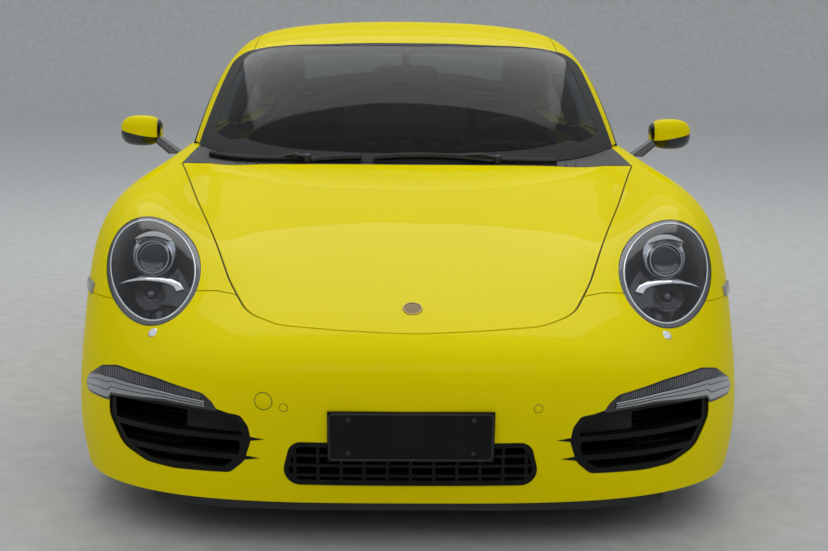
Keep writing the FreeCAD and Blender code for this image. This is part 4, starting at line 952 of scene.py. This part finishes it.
def two_tone_mirror(side, sign):
    """The mirror's shell in two colours, on a copy of the solid's mesh."""
    mesh = nodes["mirror_" + side].data.copy()
    mesh.name = "mirror_shell_" + side
    form = bmesh.new()
    form.from_mesh(mesh)
    seam = at(SEAM_PLACE * sign, 1800, SEAM_HEIGHT)
    lean = Vector((-0.18 * sign, -0.10, 1)).normalized()
    everything = form.verts[:] + form.edges[:] + form.faces[:]
    bmesh.ops.bisect_plane(form, geom=everything, plane_co=seam, plane_no=lean)
    mesh.materials.clear()
    mesh.materials.append(paint)
    mesh.materials.append(gloss_black)
    for face in form.faces:
        middle = face.calc_center_median()
        face.material_index = int((middle - seam).dot(lean) < 0 or abs(middle.x) < SHELL_START)
    form.to_mesh(mesh)
    form.free()
    shell = bpy.data.objects.new("mirror_shell_" + side, mesh)
    bpy.context.scene.collection.objects.link(shell)
    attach(shell, side + "_door")
    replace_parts(shell, "mirror_" + side)


def mirror_glass(side, sign):
    """A thin pane on the mirror's rear face."""
    rim = [meet("mirror_left", at(MIRROR_CENTRE[0] + x, 2000, MIRROR_CENTRE[1] + z), (0, -1, 0))[0]
           for x, z in pad(*MIRROR_GLASS, 6)]
    rings = [[point + Vector((0, y, 0)) for point in rim] for y in (-0.003, 0.0012)]
    add_piece("mirror_glass_" + side, joined(rings), silvered, side + "_door", sign)


for side, sign in SIDES:
    two_tone_mirror(side, sign)
    mirror_glass(side, sign)
print("mirrors split")

# %% [markdown]
# ## Tyres
# A tyre has four straight grooves round its tread, slanting cuts across the shoulders and fine
# steps on the sidewall. The profile is turned about the axle, and the cuts are rows of points
# that lie a little lower than the blocks between them.

# %% Make the tyres with tread
WHEELS = [("front", 245, 340.0, 0.985), ("rear", 295, 342.5, 3.435)]
WHEEL_FACE = 892
SHOULDER = 44
GROOVES = (-0.62, -0.22, 0.22, 0.62)
TYRE_STEPS = 180
CUT_PITCH, CUT_DEPTH, CUT_SLANT = 6, 3.2, 9


def wheel_centre(width, radius, axle_y):
    """The middle of a left wheel, from its tyre's width and radius and the axle's place."""
    return Vector(((WHEEL_FACE - width / 2) / 1000, axle_y - HALF_LENGTH, radius / 1000))


def tyre_profile(width, radius):
    """(across, radius) from the inner bead to the outer bead, in millimetres."""
    half = width / 2
    wall = [(half - 21, 254.4), (half - 15.5, 267), (half - 7, 272), (half - 3.2, 280), (half - 1.2, 290),
            (half - 0.6, 297), (half - 1.6, 298), (half - 1.4, 308), (half - 2.6, 309),
            (half - 5.5, radius - 24), (half - 10, radius - 16), (half - 12, radius - 15.5),
            (half - 18.5, radius - 7.5)]
    edge = half - SHOULDER
    wall += [(edge + 12, radius - 1.8), (edge, radius - 0.4)]
    tread = [(groove * edge + a, radius - depth) for groove in GROOVES
             for a, depth in ((-5.5, 0.4), (-4, 6.5), (4, 6.5), (5.5, 0.4))]
    return [(-a, r) for a, r in wall] + tread + wall[::-1]


def tyre(end, side, sign, width, radius, axle_y):
    profile = tyre_profile(width, radius)
    centre = wheel_centre(width, radius, axle_y)
    shoulder_start = (width / 2 - SHOULDER) * GROOVES[-1] + 6
    rings = []
    for k in range(TYRE_STEPS):
        turn = 2 * math.pi * k / TYRE_STEPS
        ring = []
        for a, r in profile:
            on_shoulder = abs(a) > shoulder_start and r > radius - 9
            if on_shoulder and (k + int(abs(a) / CUT_SLANT)) % CUT_PITCH == 0:
                r -= CUT_DEPTH
            ring.append(centre + Vector((a / 1000, math.cos(turn) * r / 1000, math.sin(turn) * r / 1000)))
        rings.append(ring)
    piece = add_piece(f"tread_{end}_{side}", joined(rings, True), rubber, f"wheel_{end}_{side}",
                      sign, 30)
    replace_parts(piece, f"tyre_{end}_{side}")


for end, width, radius, axle_y in WHEELS:
    for side, sign in SIDES:
        tyre(end, side, sign, width, radius, axle_y)
print("tyres made")


# %% Plain caps, bolts and valves
BOLTS, BOLT_CIRCLE, VALVE_CIRCLE = 5, 0.065, 0.222


def wheel_trim(end, side, sign, width, radius, axle_y):
    """A plain cap, five bolts and a valve on the wheel's outer face."""
    centre = wheel_centre(width, radius, axle_y)
    face = width / 2 - 48.5
    out = Vector((1, 0, 0))

    def round_part(place, turn, count, profile):
        spot = centre + Vector((0, math.cos(turn), math.sin(turn))) * place
        return lathe([(face + a, r) for a, r in profile], count, spot, out)

    body = f"wheel_{end}_{side}"
    cap = round_part(0, 0, 40, [(-6, 34), (2, 34), (5, 31), (6.5, 20), (7, 1)])
    add_piece(f"wheel_cap_{end}_{side}", cap, gloss_black, body, sign)
    bolt = [(-22, 6), (-1, 6), (1.5, 4.5), (1.2, 0.8)]
    bolts = [round_part(BOLT_CIRCLE, math.radians(126 + 360 / BOLTS * k), 6, bolt) for k in range(BOLTS)]
    valve = round_part(VALVE_CIRCLE, math.radians(18), 12, [(-6, 4), (18, 4), (19, 1)])
    add_piece(f"wheel_bolts_{end}_{side}", together(*bolts, valve), steel, body, sign)


for end, width, radius, axle_y in WHEELS:
    for side, sign in SIDES:
        wheel_trim(end, side, sign, width, radius, axle_y)
print("wheel trim made")

# %% [markdown]
# ## Seats
# Sports seats have a firm shell with side bolsters, a seat cushion, a back cushion and a fixed
# head rest, all in stitched leather. Each soft part starts as a simple padded block that is a
# little too small. A cloth simulation then blows it up, so its faces crown and its sides pull in.

# %% Blow up a padded block
VOXEL = 0.006
PRESSURE = 4.0
FRAMES = 20


def padded_block(name, size_x, size_y, size_z, corner, cuts=9):
    """A block with round edges, centred on the origin, from six gridded sides."""
    form = bmesh.new()
    bmesh.ops.create_cube(form, size=1.0)
    bmesh.ops.subdivide_edges(form, edges=form.edges[:], cuts=cuts, use_grid_fill=True)
    half = Vector((size_x / 2, size_y / 2, size_z / 2))
    for vert in form.verts:
        spot = Vector((vert.co.x * size_x, vert.co.y * size_y, vert.co.z * size_z))
        core = Vector([max(corner - h, min(h - corner, a)) for h, a in zip(half, spot)])
        away = spot - core
        if away.length > corner:
            spot = core + away.normalized() * corner
        vert.co = spot
    mesh = bpy.data.meshes.new(name)
    form.to_mesh(mesh)
    form.free()
    return mesh


def remeshed(piece):
    """Joins a piece's blocks into one even skin."""
    bpy.context.view_layer.objects.active = piece
    for other in bpy.context.selected_objects:
        other.select_set(False)
    piece.select_set(True)
    remesh = piece.modifiers.new("remesh", "REMESH")
    remesh.mode, remesh.voxel_size = "VOXEL", VOXEL
    bpy.ops.object.modifier_apply(modifier="remesh")


def blown(name, mesh, cap):
    """The mesh after a short cloth simulation under pressure, with each point moved by cap at most."""
    piece = show(name, mesh)
    remeshed(piece)
    before = [v.co.copy() for v in piece.data.vertices]
    cloth = piece.modifiers.new("cloth", "CLOTH")
    cloth.settings.use_pressure = True
    cloth.settings.uniform_pressure_force = PRESSURE
    cloth.settings.effector_weights.gravity = 0
    cloth.settings.quality = 4
    for number in range(1, FRAMES + 1):
        bpy.context.scene.frame_set(number)
    shaped = piece.evaluated_get(bpy.context.evaluated_depsgraph_get())
    after = [v.co.copy() for v in shaped.data.vertices]
    piece.modifiers.remove(cloth)
    bpy.context.scene.frame_set(1)
    for vert, start, end in zip(piece.data.vertices, before, after):
        move = end - start
        if move.length > cap:
            move = move.normalized() * cap
        vert.co = start + move
    smooth = piece.modifiers.new("smooth", "SMOOTH")
    smooth.factor, smooth.iterations = 0.5, 6
    bpy.ops.object.modifier_apply(modifier="smooth")
    piece.data.polygons.foreach_set("use_smooth", [True] * len(piece.data.polygons))
    return piece


# %% Helpers that join blocks
def merged(name, blocks, cuts=9):
    """One mesh from blocks, each with its size, corner and place."""
    form = bmesh.new()
    for size, place in blocks:
        mesh = padded_block(name + "_block", *size, cuts)
        mesh.transform(place)
        form.from_mesh(mesh)
        bpy.data.meshes.remove(mesh)
    mesh = bpy.data.meshes.new(name)
    form.to_mesh(mesh)
    form.free()
    return mesh


def both_sides(piece):
    """Adds the mirrored twin to a piece's own mesh."""
    form = bmesh.new()
    form.from_mesh(piece.data)
    twin = bmesh.ops.duplicate(form, geom=form.verts[:] + form.edges[:] + form.faces[:])["geom"]
    for item in twin:
        if isinstance(item, bmesh.types.BMVert):
            item.co.x = -item.co.x
    bmesh.ops.reverse_faces(form, faces=[item for item in twin if isinstance(item, bmesh.types.BMFace)])
    form.to_mesh(piece.data)
    form.free()


# %% Front and rear seat cushions
SEAT_LINE = 370
REAR_SEAT_LINE = 290
BACK_FOOT = (2440, 290)
BACK_LEAN = math.radians(-18)


def on_base(a, s, z):
    """A place on a front seat's base: outwards, back and up."""
    return Matrix.Translation(at(SEAT_LINE + a, 2020 + s, z))


def on_back(a, b, c):
    """A place on a front seat's leaning back: outwards, away from it and up along it."""
    foot = Matrix.Translation(at(SEAT_LINE, *BACK_FOOT)) @ Matrix.Rotation(BACK_LEAN, 4, "X")
    return foot @ Matrix.Translation(Vector((a, b, c)) / 1000)


def on_bench(s, z):
    """A place on a rear seat's middle line: back from the nose tip and up."""
    return Matrix.Translation(at(REAR_SEAT_LINE, s, z))


FRONT_PADS = [
    ((0.272, 0.400, 0.078, 0.03), on_base(0, 222, 352)),
    ((0.078, 0.400, 0.116, 0.034), on_base(196, 226, 338)),
    ((0.078, 0.400, 0.116, 0.034), on_base(-196, 226, 338)),
    ((0.262, 0.062, 0.150, 0.026), on_back(0, 44, 205)),
    ((0.262, 0.062, 0.230, 0.026), on_back(0, 44, 418)),
    ((0.074, 0.100, 0.440, 0.032), on_back(184, 50, 320)),
    ((0.074, 0.100, 0.440, 0.032), on_back(-184, 50, 320)),
    ((0.226, 0.064, 0.044, 0.02), on_back(0, 52, 573)),
    ((0.226, 0.074, 0.150, 0.036), on_back(0, 56, 684)),
]
REAR_PADS = [
    ((0.380, 0.226, 0.040, 0.018), on_bench(3094, 508)),
    ((0.380, 0.030, 0.262, 0.014), on_bench(3262, 640)),
]


def cushions(name, pads, cap, node):
    """A pair of seats' soft parts, blown up and made for both sides."""
    piece = blown(name, merged(name, pads), cap)
    both_sides(piece)
    piece.data.materials.append(leather)
    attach(piece, "body")
    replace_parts(piece, node)
    print(name, "faces:", len(piece.data.polygons))


cushions("seat_cushions", FRONT_PADS, 0.024, "seats")
cushions("rear_cushions", REAR_PADS, 0.022, "rear_seats")


# %% The hard shells that carry the cushions
def shells(name, blocks):
    """Plain blocks under the soft parts, made for both sides."""
    piece = show(name, merged(name, blocks, 5))
    both_sides(piece)
    piece.data.materials.append(plastic)
    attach(piece, "body")


shells("seat_shells", [((0.46, 0.44, 0.046, 0.02), on_base(0, 235, 285)),
                       ((0.44, 0.03, 0.56, 0.014), on_back(0, 104, 300)),
                       ((0.24, 0.03, 0.22, 0.014), on_back(0, 104, 650)),
                       ((0.03, 0.40, 0.09, 0.01), on_base(-185, 235, 206)),
                       ((0.03, 0.40, 0.09, 0.01), on_base(185, 235, 206))])
shells("rear_seat_bases", [((0.42, 0.25, 0.03, 0.012), on_bench(3098, 484)),
                           ((0.42, 0.018, 0.30, 0.008), on_bench(3281, 636))])
print("shells made")

# %% [markdown]
# ## Cabin lining
# Bare painted steel never shows inside a finished car. The roof has a headliner, the doors have
# cards, and a shelf closes the space under the rear window. Each is a thin sheet laid just
# inside the panel that carries it.

# %% Line the cabin
LINING_GAP = 0.004
SHELF_LINE = ((3306, 430, 700), (3306, 560, 700), (3306, 690, 700), (3320, 790, 690), (3430, 860, 600),
              (3560, 915, 560), (3690, 955, 520), (3755, 972, 500))


def inside(node, start, towards):
    """A point just inside a panel, seen from start, or None beside the panel."""
    point = meet(node, start, towards)[0]
    return None if point is None else point - Vector(towards) * LINING_GAP


def lined(name, grid, body, thick=0.002, side=1):
    return thin_sheet(name, grid, lining, body, thick, side, 0.25)


headliner = [[inside("roof_panel", at(x, s, 1000), (0, 0, 1)) for x in range(-540, 541, 45)]
             for s in range(2250, 3081, 46)]
lined("headliner", headliner, "body")
for side, sign in SIDES:
    card = [[inside("door_left", at(500, s, z), (1, 0, 0)) for z in range(270, 851, 36)]
            for s in range(1640, 2781, 38)]
    lined("door_card_" + side, card, side + "_door", 0.002, sign)
shelf = [[at(half * k / 9, s, z) for k in range(-9, 10)] for s, z, half in SHELF_LINE]
lined("rear_shelf", shelf, "body", 0.003)
print("cabin lined")

# %% [markdown]
# ## Interior mirror
# The mirror behind the windscreen is a flat rounded shell on a short stalk from the roof. Rings of
# one outline, drawn in towards both ends, give the shell its soft edge.

# %% Shape the interior mirror
SHELL_RINGS = ((-0.014, 0.55), (-0.012, 0.80), (-0.006, 0.95), (0.002, 1.0), (0.009, 0.985), (0.012, 0.93))


def inner_mirror():
    centre = at(0, 2160, 1102)
    outline = pad(0.236, 0.074, 0.036, 7)
    shell = joined([[centre + Vector((a * scale, y, b * (0.2 + 0.8 * scale))) for a, b in outline]
                    for y, scale in SHELL_RINGS])
    stalk = sweep([at(0, 2150, 1130), at(0, 2146, 1160), at(0, 2148, 1196)], pad(0.030, 0.018, 0.008, 3),
                  up=(0, 1, 0))
    return together(shell, stalk)


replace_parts(add_piece("interior_mirror_shell", inner_mirror(), plastic, "body"),
            "interior_mirror")
face_line = [at(x, 2173.5, 1102) for x in (-104, 104)]
add_piece("mirror_face", sweep(face_line, pad(0.054, 0.003, 0.001), up=(0, 1, 0)), silvered, "body")
print("interior mirror shaped")

# %% [markdown]
# ## Cabin details
# A driver sees five round dials under a hood, a wheel with a plain centre pad, a small clock on
# the dashboard and a gear lever on the console. They are guesses of a usual layout, because the
# photograph shows them dark.

# %% Dials, lever, clock and pad
DIAL_RADII = (34, 40, 52, 40, 34)
COLUMN_AXIS = Vector((0, 0.906308, 0.422618))
dials = []
for k, radius in enumerate(DIAL_RADII):
    off = abs(k - 2)
    spot = at(SEAT_LINE + (k - 2) * 78, 1893 - off * 2, 806 - off * 5)
    dial = [(-20, radius), (4, radius), (6, radius - 3), (2, radius - 5), (1, 1)]
    dials.append(lathe(dial, 32, spot, (0, 0.95, 0.3)))
add_piece("dials", together(*dials), gloss_black, "body")
hood_turns = [math.radians(turn) for turn in range(0, 181, 10)]
hood_path = [at(SEAT_LINE + 230 * math.cos(turn), 1870, 800 + 74 * math.sin(turn)) for turn in hood_turns]
add_piece("dial_hood", sweep(hood_path, pad(0.014, 0.110, 0.006, 2), up=(0, 1, 0)), leather, "body")
lever = [(-30, 30), (0, 28), (30, 12), (100, 8), (105, 20), (125, 26), (145, 22), (152, 4)]
add_piece("gear_lever", lathe(lever, 28, at(0, 1960, 490), (0, 0.15, 0.98)), leather, "body")
clock = [(-30, 30), (0, 36), (18, 33), (26, 24), (29, 2)]
add_piece("dash_clock", lathe(clock, 36, at(0, 1735, 858), (0, 0.35, 0.94)), plastic, "body")
wheel_pad = [(0, 60), (12, 68), (22, 60), (28, 40), (30, 2)]
add_piece("wheel_centre_pad", lathe(wheel_pad, 40, at(SEAT_LINE, 2010, 780), COLUMN_AXIS), leather,
          "steering")
print("cabin details made")

# %% [markdown]
# ## Sides and tail
# The doors have a bar handle over a dark strip of painted shade where a shallow dip would be, the right front
# wing a round filler flap, and the tail a plain plate, lamp strips and reflectors low in the bumper.

# %% Door handles and filler flap
HANDLE_STEPS = 14
FLAP_CENTRE, FLAP_RADIUS = (1330, 700), 74


def door_handle(side, sign):
    """A bowed bar that leaves the door between its ends, and a dark strip of painted shade under it."""
    share = [k / HANDLE_STEPS for k in range(HANDLE_STEPS + 1)]
    rows = [on_side("door_left", 2530 + 165 * part, 700 + 10 * part) for part in share]
    bar = [point + normal * (0.017 * math.sin(math.pi * part) ** 0.4 - 0.002)
           for (point, normal), part in zip(rows, share)]
    add_piece("door_handle_" + side, sweep(bar, pad(0.026, 0.009, 0.004), up=(1, 0, 0)), paint,
              side + "_door", sign)
    # painted shade: a flat dark strip on the skin under the bar stands for the shade of a dip
    add_piece("handle_painted_shade_" + side, along_skin(rows, pad(0.036, 0.0014, 0.0006), 0.0006), seal,
              side + "_door", sign)


for side, sign in SIDES:
    door_handle(side, sign)
turns = [2 * math.pi * k / 48 for k in range(48)]
flap_edge = [on_side("wing_left", FLAP_CENTRE[0] + FLAP_RADIUS * math.cos(turn),
                     FLAP_CENTRE[1] + FLAP_RADIUS * math.sin(turn)) for turn in turns]
add_piece("filler_flap_seam", along_skin(flap_edge, pad(0.003, 0.0012, 0.0004, 1), wrap=True), seal, "body",
          -1)
print("handles and filler flap done")


# %% Tail plate, reflectors and lamp strips
def tail_strip(name, node, start, end, outline, lift, material, side=1):
    """An outline carried over the tail's skin between two (x, z) places."""
    rows = [on_tail(node, start[0] + (end[0] - start[0]) * k / 20, start[1] + (end[1] - start[1]) * k / 20)
            for k in range(21)]
    rows = [row for row in rows if row[0] is not None]
    add_piece(name, along_skin(rows, outline, lift), material, "body", side)


tail_strip("tail_plate_field", "rear_bumper", (-280, 600), (280, 600), pad(0.130, 0.004, 0.0018), 0.001,
           plastic)
tail_strip("tail_plate", "rear_bumper", (-256, 600), (256, 600), pad(0.108, 0.004, 0.0018), 0.0045,
           silvered)
for side, sign in SIDES:
    tail_strip("tail_reflector_" + side, "rear_bumper", (560, 330), (700, 335), pad(0.030, 0.005, 0.002),
               0.001, red_lens, sign)
    for number, z in enumerate((682, 700, 718)):
        tail_strip(f"tail_lamp_strip_{number}_{side}", "tail_lamps", (590, z), (790, z + 4),
                   pad(0.006, 0.002, 0.0008), 0.0006, reflector, sign)
print("sides and tail done")

# %% [markdown]
# ## The studio
# A pale floor that curves up into a wall all round is called a cove. It gives a seamless
# background from every side. The light comes from two wide soft panels, one above the tail and
# one ahead of the nose, and from an even pale sky.

# %% Build the cove
COVE_FLOOR, COVE_BEND, COVE_TOP = 17.0, 4.0, 10.0
COVE_SIDES = 96


def cove():
    profile = [(radius, 0.0) for radius in (2.0, 5.0, 8.0, 12.0, COVE_FLOOR)]
    for i in range(1, 9):
        turn = math.radians(90 * i / 8)
        profile.append((COVE_FLOOR + COVE_BEND * math.sin(turn), COVE_BEND - COVE_BEND * math.cos(turn)))
    profile.append((COVE_FLOOR + COVE_BEND, COVE_TOP))
    turns = [2 * math.pi * i / COVE_SIDES for i in range(COVE_SIDES)]
    form = bmesh.new()
    rings = [[form.verts.new((radius * math.cos(turn), radius * math.sin(turn), height)) for turn in turns]
             for radius, height in profile]
    form.faces.new(rings[0])
    for low, high in zip(rings, rings[1:]):
        for i in range(COVE_SIDES):
            beside = (i + 1) % COVE_SIDES
            form.faces.new((low[i], high[i], high[beside], low[beside]))
    mesh = bpy.data.meshes.new("studio_cove")
    form.to_mesh(mesh)
    form.free()
    piece = show("studio_cove", mesh)
    mesh.materials.append(finish_of("cove_paint", (0.50, 0.495, 0.485), (0.58, 0.575, 0.565), GRAIN, 40.0,
                                    0.1, 0.001, 0.6))


cove()
print("cove radius in m:", COVE_FLOOR + COVE_BEND)


# %% Hang the light panels
def panel(name, size_x, size_y, place, look, power):
    """A wide soft lamp at a place, turned to look at another."""
    light = bpy.data.lights.new(name, "AREA")
    light.shape = "RECTANGLE"
    light.size, light.size_y = size_x, size_y
    light.energy = power
    lamp = bpy.data.objects.new(name, light)
    lamp.location = place
    lamp.rotation_euler = (Vector(look) - Vector(place)).to_track_quat("-Z", "Y").to_euler()
    bpy.context.scene.collection.objects.link(lamp)


panel("ceiling_panel", 6.0, 4.2, (0, 3.3, 5.6), (0, 0.6, 0), 120)
panel("front_panel", 9.0, 4.0, (0, -10.0, 5.0), (0, 0, 0.6), 110)
world = bpy.data.worlds.new("studio_air")
world.use_nodes = True
sky = world.node_tree.nodes["Background"].inputs
sky["Color"].default_value = (0.9, 0.95, 1.0, 1)
sky["Strength"].default_value = 0.75
bpy.context.scene.world = world
bpy.context.scene.view_settings.view_transform = "Standard"
print("lights:", len(bpy.data.lights))

# %% [markdown]
# ## The camera
# The picture was taken from straight ahead, a little above the bonnet, with a longer lens. The
# place and tilt follow from where the wheels, mirrors and roof fall in the picture.

# %% Place the camera
SENSOR_WIDTH = 36.0
FOCAL_PIXELS, PICTURE_WIDTH = 1517, 828
PAN, TILT, ROLL = (math.radians(degrees) for degrees in (-0.85, 81, 0.45))
camera = bpy.data.cameras.new("front_camera")
camera.sensor_width = SENSOR_WIDTH
camera.lens = FOCAL_PIXELS / PICTURE_WIDTH * SENSOR_WIDTH
eye = bpy.data.objects.new("front_camera", camera)
eye.location = (-0.048, -5.7455, 1.25)
aim = Matrix.Rotation(PAN, 4, "Z") @ Matrix.Rotation(TILT, 4, "X") @ Matrix.Rotation(ROLL, 4, "Z")
eye.rotation_euler = aim.to_euler()
bpy.context.scene.collection.objects.link(eye)
bpy.context.scene.camera = eye
print("lens in mm:", round(camera.lens, 1))
